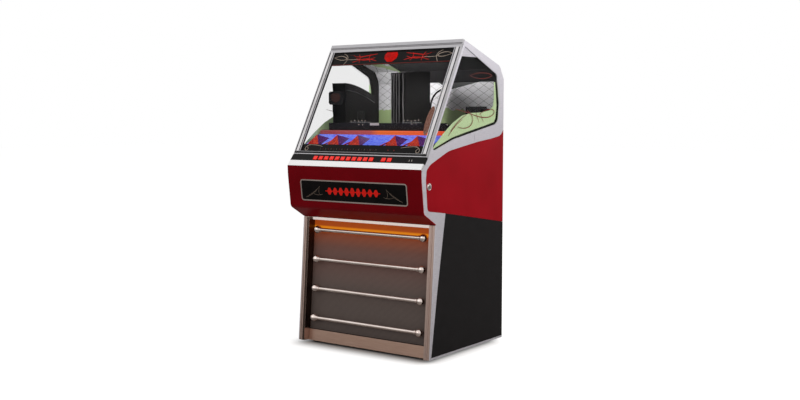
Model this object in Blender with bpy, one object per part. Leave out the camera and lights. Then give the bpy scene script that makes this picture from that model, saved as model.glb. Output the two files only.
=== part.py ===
"""Full-size jukebox for 45 rpm records, modelled as separate pieces.

Metres, +Z up, front towards -Y, the viewer's right towards +X.
The origin lies on the floor under the middle of the cabinet.
"""

import math

import bmesh
import bpy
from mathutils import Vector

# Cabinet
CABINET_WIDTH = 0.800
CABINET_DEPTH = 0.720
BODY_HEIGHT = 1.481
FOOT_HEIGHT = 0.012
FOOT_RADIUS = 0.030
FOOT_INSET = 0.070
CLEARANCE = 0.0003
OVERRUN = 0.010
CURVE_STEPS = 5
ROUND_SIDES = 16
SMOOTH_ANGLE = 35.0

# Boards and skins of the two sides
SIDE_BOARD_THICKNESS = 0.018
SKIN_THICKNESS = 0.004
SKIN_JOINT = 0.0004
BASE_BOARD_THICKNESS = 0.018
BACK_THICKNESS = 0.006
BACK_SPLIT_DROP = 0.031
ROOF_THICKNESS = 0.012
ROOF_REAR_RADIUS = 0.040
WINDOW_THICKNESS = 0.003
WINDOW_SETBACK = 0.0068
GASKET_WIDTH = 0.007
GASKET_RECESS = 0.0035

# Side outline: depth share from the front, height share from the underside
SILHOUETTE_SHARES = [
    (0.1007, 0.0000),
    (0.1657, 0.4193),
    (0.0297, 0.4564),
    (0.0029, 0.5638),
    (0.0000, 0.5942),
    (0.0611, 0.6307),
    (0.4806, 1.0000),
    (0.9472, 0.9237),
    (1.0000, 0.8800),
    (1.0000, 0.0000),
]
KINK, BULGE_LOW, BULGE_MID, BULGE_TOP, GLASS_FOOT, GLASS_HEAD, ROOF_REAR, REAR_TOP = range(1, 9)

# Side window: outline shares, and a corner radius for each point
WINDOW_SHARES = [
    (0.1125, 0.6462),
    (0.3667, 0.6837),
    (0.9222, 0.7319),
    (0.9417, 0.7934),
    (0.9083, 0.8947),
    (0.5000, 0.9774),
]
WINDOW_RADII = [0.012, 0.300, 0.045, 0.080, 0.034, 0.004]

# Red side panel, from the rear top, forward, down and back along its lower edge
SIDE_PANEL_SHARES = [
    (1.0056, 0.7100),
    (0.9600, 0.6905),
    (0.8300, 0.6815),
    (0.6596, 0.6726),
    (0.3112, 0.6472),
    (0.1024, 0.6078),
    (0.0617, 0.5912),
    (0.0547, 0.5600),
    (0.0720, 0.4660),
    (0.2767, 0.4531),
    (1.0056, 0.3990),
]
SIDE_PANEL_RADII = [0.0, 0.060, 0.200, 0.300, 0.300, 0.100, 0.022, 0.060, 0.022, 0.0, 0.0]
LOWER_PANEL_SHARES = [
    (1.0056, 0.3986),
    (0.2767, 0.4527),
    (0.1872, 0.2166),
    (0.1180, 0.0071),
    (1.0056, 0.0071),
]

# Lock in the right side
LOCK_SHARE = (0.0907, 0.5405)
LOCK_FLANGE_RADIUS = 0.012
LOCK_FLANGE_THICKNESS = 0.003
LOCK_BARREL_RADIUS = 0.0095
LOCK_LENGTH = 0.030
LOCK_CAM_LENGTH = 0.030
LOCK_CAM_WIDTH = 0.014
LOCK_CAM_THICKNESS = 0.0025
LOCK_KEYWAY_WIDTH = 0.0018
LOCK_KEYWAY_LENGTH = 0.009
LOCK_KEYWAY_DEPTH = 0.004

# Glass door and its extruded hinge
DOOR_THICKNESS = 0.012
DOOR_FOOT_GAP = 0.0020
DOOR_SIDE_RAIL_WIDTH = 0.036
DOOR_TOP_RAIL_WIDTH = 0.014
DOOR_BOTTOM_RAIL_WIDTH = 0.016
DOOR_LIP_THICKNESS = 0.0072
DOOR_GLASS_THICKNESS = 0.004
DOOR_GLASS_GRIP = 0.009
DOOR_FLUTE_COUNT = 3
DOOR_FLUTE_WIDTH = 0.0060
DOOR_FLUTE_DEPTH = 0.0014
HEADER_RAIL_WIDTH = 0.018
HINGE_DROP = 0.0225
HINGE_SETBACK = 0.0056
HINGE_BEAD_RADIUS = 0.0030
HINGE_SOCKET_INNER = 0.0034
HINGE_SOCKET_OUTER = 0.0052
HINGE_NECK_WIDTH = 0.0016
HINGE_NECK_LENGTH = 0.0075
HINGE_OPENING_START = 90.0
HINGE_OPENING_END = 340.0
HINGE_STEPS = 14
HINGE_STEP_ANGLE = 22.0
DOOR_CORNER_LAP = 0.002

# Red front, plaque, ledge and control strip
FRONT_THICKNESS = 0.004
FRONT_LOW_RADIUS = 0.026
FRONT_MID_RADIUS = 0.350
PLAQUE_WIDTH = 0.640
PLAQUE_HEIGHT = 0.105
PLAQUE_DROP = 0.0727
PLAQUE_RADIUS = 0.014
PLAQUE_BORDER = 0.006
PLAQUE_PROUD = 0.0030
PLAQUE_PLATE_PROUD = 0.0015
CONTROL_THICKNESS = 0.012
CONTROL_LENGTH = 0.036
LEDGE_THICKNESS = 0.012
LEDGE_EDGE_RADIUS = 0.002
BUTTON_WIDTH = 0.022
BUTTON_LENGTH = 0.020
BUTTON_THICKNESS = 0.020
BUTTON_PROUD = 0.0045
BUTTON_FLANGE = 0.0015
BUTTON_FLANGE_THICKNESS = 0.0015
BUTTON_BEVEL = 0.0018
BUTTON_PITCH = 0.0340
BUTTON_ROW_START = -0.2450
BUTTON_ROW_COUNT = 11
BUTTON_PAIR_START = 0.1665
BUTTON_PAIR_COUNT = 2
BUTTON_DROP = 0.020
DISPLAY_WIDTH = 0.060
DISPLAY_LENGTH = 0.020
DISPLAY_SIDE_GAP = 0.080
DISPLAY_DEPTH = 0.0015

# Lower front: stiles, kick plate, grille and its four bars
STILE_WIDTH = 0.032
STILE_THICKNESS = 0.006
STILE_FLANGE = 0.002
STILE_BEAD_RADIUS = 0.004
RECESS_DEPTH = 0.045
KICK_HEIGHT = 0.057
KICK_THICKNESS = 0.002
GRILLE_THICKNESS = 0.0015
GRILLE_LAP = 0.015
GRILLE_TRIM_HEIGHT = 0.013
GRILLE_TRIM_DEPTH = 0.026
GRILLE_TRIM_SETBACK = 0.014
BAR_COUNT = 4
BAR_TOP_DROP = 0.064
BAR_FOOT_GAP = 0.0607
BAR_RADIUS = 0.006
BAR_BALL_RADIUS = 0.014
BAR_SIDE_GAP = 0.0347
BAR_SETBACK = 0.020
BAR_BALL_SWEEP = 150.0
BAR_COLLAR_RADIUS = 0.009
BAR_COLLAR_LENGTH = 0.007
BAR_POST_RADIUS = 0.004
BAR_SIDES = 12

# Speakers and electronics
BAFFLE_THICKNESS = 0.015
BAFFLE_GAP = 0.006
BAFFLE_FOOT = 0.012
BAFFLE_TOP_MARGIN = 0.012
WOOFER_RADIUS = 0.130
WOOFER_HOLE_RADIUS = 0.118
WOOFER_DEPTH = 0.085
WOOFER_SIDE_GAP = 0.0194
WOOFER_RISE = 0.240
TWEETER_RADIUS = 0.048
TWEETER_HOLE_RADIUS = 0.040
TWEETER_DEPTH = 0.045
TWEETER_DROP = 0.070
SPEAKER_FLANGE = 0.004
SPEAKER_SIDES = 20
# Loudspeaker section: depth share behind the seat, radius share of the hole
CONE_SHARES = [(0.55, 0.00), (0.45, 0.25), (0.05, 0.92), (0.00, 0.96)]
MAGNET_SHARES = [(0.10, 1.00), (0.60, 0.62), (0.66, 0.62), (1.00, 0.55), (1.00, 0.00)]
AMPLIFIER_WIDTH = 0.300
AMPLIFIER_DEPTH = 0.180
AMPLIFIER_HEIGHT = 0.110
AMPLIFIER_REAR_GAP = 0.060
FIN_COUNT = 9
FIN_HEIGHT = 0.022
FIN_SHARE = 0.40

# Rear service cover
VENT_ROWS = 8
VENT_PITCH = 0.024
VENT_WIDTH = 0.220
VENT_SLOT = 0.008
VENT_ACROSS = 0.170
VENT_LOW = 0.120
VENT_HIGH = 0.700
COVER_MARGIN = 0.004

# Title display under the glass
TITLE_FRONT_SETBACK = 0.0160
TITLE_FRONT_RISE = 0.0470
TITLE_REAR_GAP = 0.0215
TITLE_REAR_DROP = 0.0195
TITLE_THICKNESS = 0.004
PYRAMID_PITCH = 0.1285
PYRAMID_HALF_BASE = 0.046
PYRAMID_BASE_START_SHARE = 0.08
PYRAMID_BASE_END_SHARE = 0.72
PYRAMID_APEX_SHARE = 0.50
PYRAMID_HEIGHT = 0.034
PYRAMID_SINK = 0.002
PYRAMIDS_LEFT_GAP = 0.0544
PYRAMIDS_LEFT_COUNT = 3
PYRAMIDS_RIGHT_GAP = 0.2204
PYRAMIDS_RIGHT_COUNT = 2
LIGHT_BAR_HEIGHT = 0.020
LIGHT_BAR_DEPTH = 0.018
LIGHT_BAR_RADIUS = 0.006

# Record mechanism
DECK_LIFT = 0.11493
DECK_THICKNESS = 0.003
DECK_FRONT_SETBACK = 0.1960
DECK_REAR_GAP = 0.0200
DECK_FRONT_HEIGHT = 0.038
DECK_REAR_HEIGHT = 0.018
RECORD_RADIUS = 0.089
RECORD_THICKNESS = 0.0018
RECORD_BORE_RADIUS = 0.0192
RECORD_SIDES = 22
RACK_WIDTH = 0.085
RACK_RAIL_GAP = 0.0440
RACK_LEFT_SETBACK = 0.0280
RACK_RIGHT_SETBACK = 0.0600
RACK_LEFT_GAP = 0.0424
RACK_RIGHT_X = 0.0100
RACK_LEFT_HEADROOM = 0.0540
RACK_RIGHT_HEADROOM = 0.0670
RACK_LEFT_FALL_SHARE = 0.28
RACK_RIGHT_FALL_SHARE = -0.14
RACK_FALL_POWER = 1.7
RACK_EDGE_STEPS = 7
RACK_BASE = 0.005
RACK_FINS = 11
RACK_FIN_THICKNESS = 0.0018
RACK_CHEEK_THICKNESS = 0.004
RACK_WAVE = 0.006
RECORD_SEAT = 0.002
RACK_RECORD_SHIFT = 0.0040
RAIL_RADIUS = 0.005
RAIL_LIFT = 0.0240
RAIL_REAR_GAP = 0.0300
RAIL_SPACING = 0.1100

# Travelling play unit, measured from the plane of the record it plays
PLAYER_X = -0.1200
PLAYER_SETBACK = 0.0600
PLAYER_LIFT = 0.1340
CARRIAGE_HALF_LENGTH = 0.050
CARRIAGE_MARGIN = 0.012
CARRIAGE_LIFT = 0.0135
CARRIAGE_HEIGHT = 0.0255
BRACKET_THICKNESS = 0.006
BRACKET_SINK = 0.003
TABLE_BRACKET_X = -0.0220
ARM_BRACKET_X = 0.0300
BRACKET_HALF_WIDTH = 0.022
BRACKET_FOOT_HALF_WIDTH = 0.033
FLANGE_RADIUS = 0.050
FLANGE_THICKNESS = 0.006
HUB_RADIUS = 0.0188
SPINDLE_RADIUS = 0.0047
BORE_RADIUS = 0.0051
CLAMP_RADIUS = 0.017
CLAMP_THICKNESS = 0.006
CLAMP_SHAFT_OVERHANG = 0.004
CLAMP_KNOB_RADIUS = 0.0075
CLAMP_KNOB_LENGTH = 0.004
PLAY_MOTOR_RADIUS = 0.022
PLAY_MOTOR_LENGTH = 0.022
PLAY_MOTOR_BEVEL = 0.003
SPINDLE_OVERHANG = 0.002
ARM_PIVOT_SETBACK = 0.0720
ARM_PIVOT_LIFT = 0.0200
ARM_LENGTH = 0.095
ARM_REST_ANGLE = 86.0
ARM_PLANE_X = 0.0065
ARM_THICKNESS = 0.0035
ARM_WIDTH = 0.006
ARM_BOSS_RADIUS = 0.008
ARM_TAIL = 0.012
HEAD_LENGTH = 0.022
HEAD_WIDTH = 0.011
DRIVE_SIDE_GAP = 0.1224
DRIVE_LENGTH = 0.070
DRIVE_DEPTH = 0.0900
DRIVE_REAR_GAP = 0.0150
DRIVE_LIFT = 0.1190
DRIVE_RADIUS = 0.010
DRIVE_MOTOR_RADIUS = 0.026
DRIVE_MOTOR_LENGTH = 0.040

# Colours
LOOKS = {
    "red_paint": ((0.26, 0.010, 0.018, 1.0), 0.25, 0.0),
    "black_panel": ((0.014, 0.013, 0.014, 1.0), 0.45, 0.0),
    "aluminium": ((0.62, 0.61, 0.62, 1.0), 0.35, 1.0),
    "steel": ((0.50, 0.44, 0.40, 1.0), 0.25, 1.0),
    "chrome": ((0.80, 0.80, 0.81, 1.0), 0.08, 1.0),
    "glass": ((0.80, 0.84, 0.83, 1.0), 0.05, 0.0),
    "gasket": ((0.010, 0.010, 0.010, 1.0), 0.70, 0.0),
    "plywood": ((0.30, 0.19, 0.10, 1.0), 0.70, 0.0),
    "white_panel": ((0.72, 0.72, 0.74, 1.0), 0.40, 0.0),
    "black_steel": ((0.020, 0.020, 0.022, 1.0), 0.50, 0.6),
    "black_plastic": ((0.016, 0.015, 0.016, 1.0), 0.35, 0.0),
    "button_red": ((0.80, 0.03, 0.02, 1.0), 0.25, 0.0),
    "title_blue": ((0.06, 0.10, 0.85, 1.0), 0.30, 0.0),
    "light_orange": ((0.85, 0.12, 0.03, 1.0), 0.30, 0.0),
    "vinyl": ((0.012, 0.011, 0.012, 1.0), 0.30, 0.0),
    "speaker_cone": ((0.030, 0.028, 0.026, 1.0), 0.80, 0.0),
    "rubber": ((0.012, 0.012, 0.012, 1.0), 0.85, 0.0),
}

HALF_WIDTH = CABINET_WIDTH / 2
SKIN_INNER = HALF_WIDTH - SKIN_THICKNESS
BOARD_OUTER = SKIN_INNER - CLEARANCE
BOARD_INNER = BOARD_OUTER - SIDE_BOARD_THICKNESS
INSIDE = BOARD_INNER - CLEARANCE


def side_point(share):
    """A point of the side outline, as (y, z)."""
    depth_share, height_share = share
    y = (depth_share - 0.5) * CABINET_DEPTH
    return Vector((y, FOOT_HEIGHT + height_share * BODY_HEIGHT))


SILHOUETTE = [side_point(share) for share in SILHOUETTE_SHARES]

# Places inside the cabinet, from the outline and the inner faces of the sides
DECK_Z = SILHOUETTE[GLASS_FOOT].y + DECK_LIFT
DECK_FRONT_Y = SILHOUETTE[GLASS_FOOT].x + DECK_FRONT_SETBACK
DECK_REAR_Y = CABINET_DEPTH / 2 - DECK_REAR_GAP
BACK_SPLIT_HEIGHT = DECK_Z - BACK_SPLIT_DROP
TITLE_REAR_Y = DECK_FRONT_Y - TITLE_REAR_GAP
TITLE_REAR_Z = DECK_Z - TITLE_REAR_DROP
RAIL_REAR_Y = DECK_REAR_Y - RAIL_REAR_GAP
RAIL_FRONT_Y = RAIL_REAR_Y - RAIL_SPACING
RAIL_Z = DECK_Z + RAIL_LIFT
RACK_REAR_Y = RAIL_FRONT_Y - RACK_RAIL_GAP
RACK_LEFT_X = -INSIDE + RACK_LEFT_GAP
PLAYER_Y = RAIL_REAR_Y - PLAYER_SETBACK
PLAYER_Z = DECK_Z + PLAYER_LIFT
CARRIAGE_LOW_Z = DECK_Z + CARRIAGE_LIFT
CARRIAGE_TOP_Z = CARRIAGE_LOW_Z + CARRIAGE_HEIGHT
ARM_PIVOT_Y = PLAYER_Y + ARM_PIVOT_SETBACK
ARM_PIVOT_Z = CARRIAGE_TOP_Z + ARM_PIVOT_LIFT
DRIVE_X = INSIDE - DRIVE_SIDE_GAP
DRIVE_REAR_Y = DECK_REAR_Y - DRIVE_REAR_GAP
DRIVE_FRONT_Y = DRIVE_REAR_Y - DRIVE_DEPTH
DRIVE_TOP_Z = DECK_Z + DRIVE_LIFT
DISPLAY_ACROSS = HALF_WIDTH - DISPLAY_SIDE_GAP
PLAQUE_RISE = (SILHOUETTE[BULGE_MID] - SILHOUETTE[BULGE_LOW]).length - PLAQUE_DROP
SPEAKER_ACROSS = INSIDE - WOOFER_RADIUS - WOOFER_SIDE_GAP
BAR_HALF_LENGTH = BOARD_OUTER - STILE_WIDTH - BAR_SIDE_GAP
PYRAMIDS_LEFT_START = -INSIDE + PYRAMIDS_LEFT_GAP
PYRAMIDS_RIGHT_START = INSIDE - PYRAMIDS_RIGHT_GAP


def side_place(y, z, x):
    """Places a drawing of the cabinet's side, drawn as (y, z), at a width."""
    return Vector((x, y, z))


def leaning_face(foot, head):
    """Returns a place function (across, rise, out) for a face leaning from foot to head."""
    rise_axis = (head - foot).normalized()
    out_axis = Vector((-rise_axis.y, rise_axis.x))

    def place(across, rise, out):
        point = foot + rise_axis * rise + out_axis * out
        return Vector((across, point.x, point.y))

    return place


def as_section(face):
    """The same face for sections drawn as (rise, out) and run across the cabinet."""
    def place(rise, out, across):
        return face(across, rise, out)

    return place


def as_run(face):
    """The same face for sections drawn as (across, out) and run up the face."""
    def place(across, out, rise):
        return face(across, rise, out)

    return place


def meet(point_a, direction_a, point_b, direction_b):
    """Where two lines of a drawing cross."""
    cross = direction_a.x * direction_b.y - direction_a.y * direction_b.x
    apart = point_b - point_a
    along = (apart.x * direction_b.y - apart.y * direction_b.x) / cross
    return point_a + direction_a * along


def inset(points, distances):
    """Moves each edge of a closed outline inwards by its own distance."""
    points = [Vector(point) for point in points]
    count = len(points)
    area = sum(points[i - 1].x * points[i].y - points[i].x * points[i - 1].y for i in range(count))
    turn = math.copysign(1.0, area)
    lines = []
    for i in range(count):
        direction = (points[(i + 1) % count] - points[i]).normalized()
        inward = Vector((-direction.y, direction.x)) * turn
        lines.append((points[i] + inward * distances[i], direction))
    return [meet(*lines[i - 1], *lines[i]) for i in range(count)]


def inset_evenly(points, distance):
    """Moves every edge of a closed outline inwards by one distance."""
    return inset(points, [distance] * len(points))


def rounded(points, radii, steps=CURVE_STEPS):
    """Rounds the corners of an outline by arcs, one radius for each corner."""
    outline = []
    count = len(points)
    for i, radius in enumerate(radii):
        corner = Vector(points[i])
        to_last = Vector(points[i - 1]) - corner
        to_next = Vector(points[(i + 1) % count]) - corner
        if radius <= 0.0:
            outline.append(corner)
            continue
        half = to_last.angle(to_next) / 2
        reach = radius / math.tan(half)
        middle = (to_last.normalized() + to_next.normalized()).normalized()
        centre = corner + middle * (radius / math.sin(half))
        start = corner + to_last.normalized() * reach - centre
        end = corner + to_next.normalized() * reach - centre
        sweep = start.angle(end)
        turn = math.copysign(1.0, start.x * end.y - start.y * end.x)
        for step in range(steps + 1):
            angle = turn * sweep * step / steps
            cos, sin = math.cos(angle), math.sin(angle)
            outline.append(centre + Vector((start.x * cos - start.y * sin, start.x * sin + start.y * cos)))
    return outline


def rectangle(centre, width, height):
    """A rectangle about a centre."""
    across, up = width / 2, height / 2
    x, y = centre
    return [(x - across, y - up), (x + across, y - up), (x + across, y + up), (x - across, y + up)]


def rounded_rectangle(centre, width, height, radius):
    """A rectangle about a centre with round corners."""
    return rounded(rectangle(centre, width, height), [radius] * 4)


def arc(centre, radius, start, end, steps):
    """Points of an arc, angles in degrees."""
    points = []
    for step in range(steps + 1):
        angle = math.radians(start + (end - start) * step / steps)
        points.append(Vector(centre) + Vector((math.cos(angle), math.sin(angle))) * radius)
    return points


def circle(centre, radius, sides=ROUND_SIDES):
    """A full circle of points."""
    return arc(centre, radius, 0.0, 360.0, sides)[:-1]


def finish(look):
    """The material of that name, made once."""
    material = bpy.data.materials.get(look)
    if material is None:
        colour, roughness, metallic = LOOKS[look]
        material = bpy.data.materials.new(look)
        material.use_nodes = True
        shader = material.node_tree.nodes["Principled BSDF"]
        shader.inputs["Base Color"].default_value = colour
        shader.inputs["Roughness"].default_value = roughness
        shader.inputs["Metallic"].default_value = metallic
    return material


def add_object(name, mesh_builder, look, origin=None, parent=None, smooth=False):
    """Turns a bmesh into a named object whose origin is the given point."""
    origin = Vector(origin) if origin else Vector()
    bmesh.ops.recalc_face_normals(mesh_builder, faces=mesh_builder.faces)
    bmesh.ops.translate(mesh_builder, verts=mesh_builder.verts, vec=-origin)
    mesh = bpy.data.meshes.new(name)
    mesh_builder.to_mesh(mesh)
    mesh_builder.free()
    if smooth:
        mesh.shade_smooth()
        mesh.set_sharp_from_angle(angle=math.radians(SMOOTH_ANGLE))
    mesh.materials.append(finish(look))
    model = bpy.data.objects.new(name, mesh)
    bpy.context.collection.objects.link(model)
    model.location = origin
    if parent:
        model.parent = parent
        model.location = origin - parent.location
    return model


def add_empty(name, location):
    """A carrier for pieces that move together."""
    empty = bpy.data.objects.new(name, None)
    bpy.context.collection.objects.link(empty)
    empty.location = location
    return empty


def extrude(builder, outlines, place, start, end):
    """A solid between two parallel planes; outlines after the first are holes."""
    edges = []
    for outline in outlines:
        verts = [builder.verts.new(place(u, v, start)) for u, v in outline]
        edges += [builder.edges.new(pair) for pair in zip(verts, verts[1:] + verts[:1])]
    filled = bmesh.ops.triangle_fill(builder, edges=edges, use_beauty=True)
    faces = [item for item in filled["geom"] if isinstance(item, bmesh.types.BMFace)]
    grown = bmesh.ops.extrude_face_region(builder, geom=faces)
    moved = [item for item in grown["geom"] if isinstance(item, bmesh.types.BMVert)]
    step = place(0.0, 0.0, end) - place(0.0, 0.0, start)
    bmesh.ops.translate(builder, verts=moved, vec=step)


def add_extrusion(name, outlines, place, start, end, look, **options):
    """One extruded solid as an object."""
    builder = bmesh.new()
    extrude(builder, outlines, place, start, end)
    return add_object(name, builder, look, **options)


def turn(builder, profile, place, sides):
    """A body of revolution: profile of (along, radius), closed on the axis at both ends."""
    rings = []
    for along, radius in profile:
        if radius <= 0.0:
            rings.append([builder.verts.new(place(0.0, 0.0, along))])
            continue
        angles = [2 * math.pi * side / sides for side in range(sides)]
        ring = [place(radius * math.cos(a), radius * math.sin(a), along) for a in angles]
        rings.append([builder.verts.new(point) for point in ring])
    for first, second in zip(rings, rings[1:]):
        for i in range(sides):
            j = (i + 1) % sides
            corners = [first[i % len(first)], first[j % len(first)],
                       second[j % len(second)], second[i % len(second)]]
            unique = list(dict.fromkeys(corners))
            builder.faces.new(unique)


def along_x(centre_y, centre_z, base_x=0.0):
    """Places a turned or extruded drawing on an axis that runs across the cabinet."""
    return lambda u, v, along: Vector((base_x + along, centre_y + u, centre_z + v))


def cutter(name, outlines, place, start, end):
    """A solid that is only used to cut or trim others."""
    model = add_extrusion(name, outlines, place, start, end, "gasket")
    model.hide_render = True
    model.display_type = "WIRE"
    return model


def combine(model, other, operation, solver="EXACT"):
    """Adds a Boolean to a model."""
    boolean = model.modifiers.new(operation.lower() + "_" + other.name, "BOOLEAN")
    boolean.operation = operation
    boolean.solver = solver
    boolean.object = other
    other.hide_render = True
    other.display_type = "WIRE"


def both_sides(inner, outer):
    """The (side, start, end) of a layer on the left and on the right."""
    return [("left", -outer, -inner), ("right", inner, outer)]


def window_outline():
    """The opening of a side window."""
    return rounded([side_point(share) for share in WINDOW_SHARES], WINDOW_RADII)


def panel_outline(shares, radii, margin):
    """A side skin's outline, drawn in at the cabinet's rear edge and shrunk by a margin."""
    points = []
    for share in shares:
        point = side_point(share)
        point.x = min(point.x, CABINET_DEPTH / 2 + margin)
        points.append(point)
    shrunk = inset_evenly(points, margin)
    return rounded(shrunk, radii)


def lock_centre():
    """Where the lock sits on the right side."""
    return side_point(LOCK_SHARE)


def make_side_boards():
    """Plywood sides, set back behind every cover that closes over their edges."""
    margins = [
        STILE_THICKNESS, FRONT_THICKNESS, FRONT_THICKNESS, FRONT_THICKNESS, LEDGE_THICKNESS,
        DOOR_THICKNESS, ROOF_THICKNESS, ROOF_THICKNESS, BACK_THICKNESS, 0.0,
    ]
    spaced = [margin + CLEARANCE if margin > 0.0 else 0.0 for margin in margins]
    outline = inset(SILHOUETTE, spaced)
    radii = [0.0] * len(outline)
    radii[BULGE_LOW] = FRONT_LOW_RADIUS - FRONT_THICKNESS - CLEARANCE
    radii[BULGE_MID] = FRONT_MID_RADIUS - FRONT_THICKNESS - CLEARANCE
    radii[ROOF_REAR] = ROOF_REAR_RADIUS - ROOF_THICKNESS
    outline = rounded(outline, radii)
    for side, start, end in both_sides(BOARD_INNER, BOARD_OUTER):
        holes = [window_outline()]
        if side == "right":
            holes.append(circle(lock_centre(), LOCK_BARREL_RADIUS + CLEARANCE))
        add_extrusion("side_board_" + side, [outline] + holes, side_place, start, end, "plywood")


def make_side_trims():
    """Aluminium bands that frame the window, the red panel and the black panel."""
    covered = [
        0.0, FRONT_THICKNESS, FRONT_THICKNESS, FRONT_THICKNESS, LEDGE_THICKNESS,
        DOOR_THICKNESS, 0.0, 0.0, 0.0, 0.0,
    ]
    spaced = [margin + CLEARANCE if margin > 0.0 else 0.0 for margin in covered]
    outline = inset(SILHOUETTE, spaced)
    radii = [0.0] * len(outline)
    radii[BULGE_LOW] = FRONT_LOW_RADIUS - FRONT_THICKNESS - CLEARANCE
    radii[BULGE_MID] = FRONT_MID_RADIUS - FRONT_THICKNESS - CLEARANCE
    radii[ROOF_REAR] = ROOF_REAR_RADIUS
    outline = rounded(outline, radii)
    red = panel_outline(SIDE_PANEL_SHARES, SIDE_PANEL_RADII, 0.0)
    black = panel_outline(LOWER_PANEL_SHARES, [0.0] * len(LOWER_PANEL_SHARES), 0.0)
    for side, start, end in both_sides(SKIN_INNER, HALF_WIDTH):
        trim = add_extrusion("side_trim_" + side, [outline, window_outline()],
                             side_place, start, end, "aluminium")
        for label, cut in (("red", red), ("black", black)):
            grown = inset_evenly(cut, -SKIN_JOINT)
            tool = cutter("cut_%s_%s" % (label, side), [grown], side_place,
                          start - OVERRUN, end + OVERRUN)
            combine(trim, tool, "DIFFERENCE")


def make_side_skins():
    """Red upper and black lower side panels."""
    rear = CABINET_DEPTH / 2
    for name, shares, radii, look in (
        ("side_panel_", SIDE_PANEL_SHARES, SIDE_PANEL_RADII, "red_paint"),
        ("lower_side_panel_", LOWER_PANEL_SHARES, [0.0] * len(LOWER_PANEL_SHARES), "black_panel"),
    ):
        outline = panel_outline(shares, radii, 0.0)
        outline = [Vector((min(point.x, rear), point.y)) for point in outline]
        for side, start, end in both_sides(SKIN_INNER, HALF_WIDTH):
            outlines = [outline]
            if side == "right" and name == "side_panel_":
                outlines.append(circle(lock_centre(), LOCK_BARREL_RADIUS + CLEARANCE))
            add_extrusion(name + side, outlines, side_place, start, end, look)


def make_windows():
    """Clear side windows, each one piece with the raised rim that its gasket forms."""
    pane_outer = HALF_WIDTH - WINDOW_SETBACK
    pane = inset_evenly(window_outline(), CLEARANCE)
    corners = inset_evenly([side_point(share) for share in WINDOW_SHARES], GASKET_WIDTH)
    radii = [max(radius - GASKET_WIDTH, GASKET_WIDTH) for radius in WINDOW_RADII]
    rim = rounded(corners, radii)
    for side, start, end in both_sides(pane_outer - WINDOW_THICKNESS, pane_outer):
        window = add_extrusion("side_window_" + side, [pane], side_place, start, end, "glass")
        rim_start, rim_end = pane_outer - WINDOW_THICKNESS / 2, HALF_WIDTH - GASKET_RECESS
        if side == "left":
            rim_start, rim_end = -rim_end, -rim_start
        gasket = cutter("rim_" + side, [pane, rim], side_place, rim_start, rim_end)
        combine(window, gasket, "UNION")


def make_roof():
    """Folded roof, from the header rail over the rear edge."""
    outer = inset(SILHOUETTE, [0.0] * GLASS_FOOT + [DOOR_THICKNESS + CLEARANCE] + [0.0] * 4)
    inner_insets = [0.0] * GLASS_FOOT + [DOOR_THICKNESS + CLEARANCE] + [ROOF_THICKNESS] * 3 + [0.0]
    inner = inset(SILHOUETTE, inner_insets)
    rear = outer[REAR_TOP]
    rear_inner = Vector((inner[REAR_TOP].x, rear.y))
    points = [outer[GLASS_HEAD], outer[ROOF_REAR], rear, rear_inner, inner[ROOF_REAR], inner[GLASS_HEAD]]
    radii = [0.0, ROOF_REAR_RADIUS, 0.0, 0.0, ROOF_REAR_RADIUS - ROOF_THICKNESS, 0.0]
    outline = rounded(points, radii)
    add_extrusion("roof_panel", [outline], side_place, -BOARD_OUTER, BOARD_OUTER, "black_panel")


def make_back():
    """Upper back panel and the vented service cover below it."""
    rear = CABINET_DEPTH / 2
    front = rear - BACK_THICKNESS
    top = SILHOUETTE[REAR_TOP].y - CLEARANCE
    width = 2 * BOARD_OUTER
    place = lambda x, z, y: Vector((x, y, z))
    height = top - BACK_SPLIT_HEIGHT
    upper = rectangle((0.0, BACK_SPLIT_HEIGHT + height / 2), width, height)
    add_extrusion("back_panel", [upper], place, front, rear, "white_panel")
    low = FOOT_HEIGHT + COVER_MARGIN
    high = BACK_SPLIT_HEIGHT - CLEARANCE
    cover = rectangle((0.0, (low + high) / 2), width, high - low)
    vents = []
    for base in (VENT_LOW, VENT_HIGH):
        for across in (-VENT_ACROSS, VENT_ACROSS):
            for row in range(VENT_ROWS):
                centre = (across, base + row * VENT_PITCH)
                vents.append(rectangle(centre, VENT_WIDTH, VENT_SLOT))
    add_extrusion("service_cover", [cover] + vents, place, front, rear, "black_steel")


def make_base():
    """Base board with its four feet."""
    front = SILHOUETTE[0].x + STILE_THICKNESS + CLEARANCE
    shoulder = SILHOUETTE[0].x + RECESS_DEPTH + CLEARANCE + STILE_FLANGE
    rear = CABINET_DEPTH / 2 - BACK_THICKNESS - CLEARANCE
    tongue = BOARD_OUTER - STILE_WIDTH - CLEARANCE
    plan = [
        (-INSIDE, rear), (-INSIDE, shoulder), (-tongue, shoulder), (-tongue, front),
        (tongue, front), (tongue, shoulder), (INSIDE, shoulder), (INSIDE, rear),
    ]
    top = FOOT_HEIGHT + BASE_BOARD_THICKNESS
    board = add_extrusion("base_board", [plan], lambda u, v, w: Vector((u, v, w)), FOOT_HEIGHT, top,
                          "plywood")
    feet = bmesh.new()
    for x in (-HALF_WIDTH + FOOT_INSET, HALF_WIDTH - FOOT_INSET):
        for y in (front + FOOT_INSET, rear - FOOT_INSET):
            extrude(feet, [circle((x, y), FOOT_RADIUS)], lambda u, v, w: Vector((u, v, w)),
                    0.0, FOOT_HEIGHT + BASE_BOARD_THICKNESS / 2)
    combine(board, add_object("feet", feet, "rubber"), "UNION")


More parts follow.
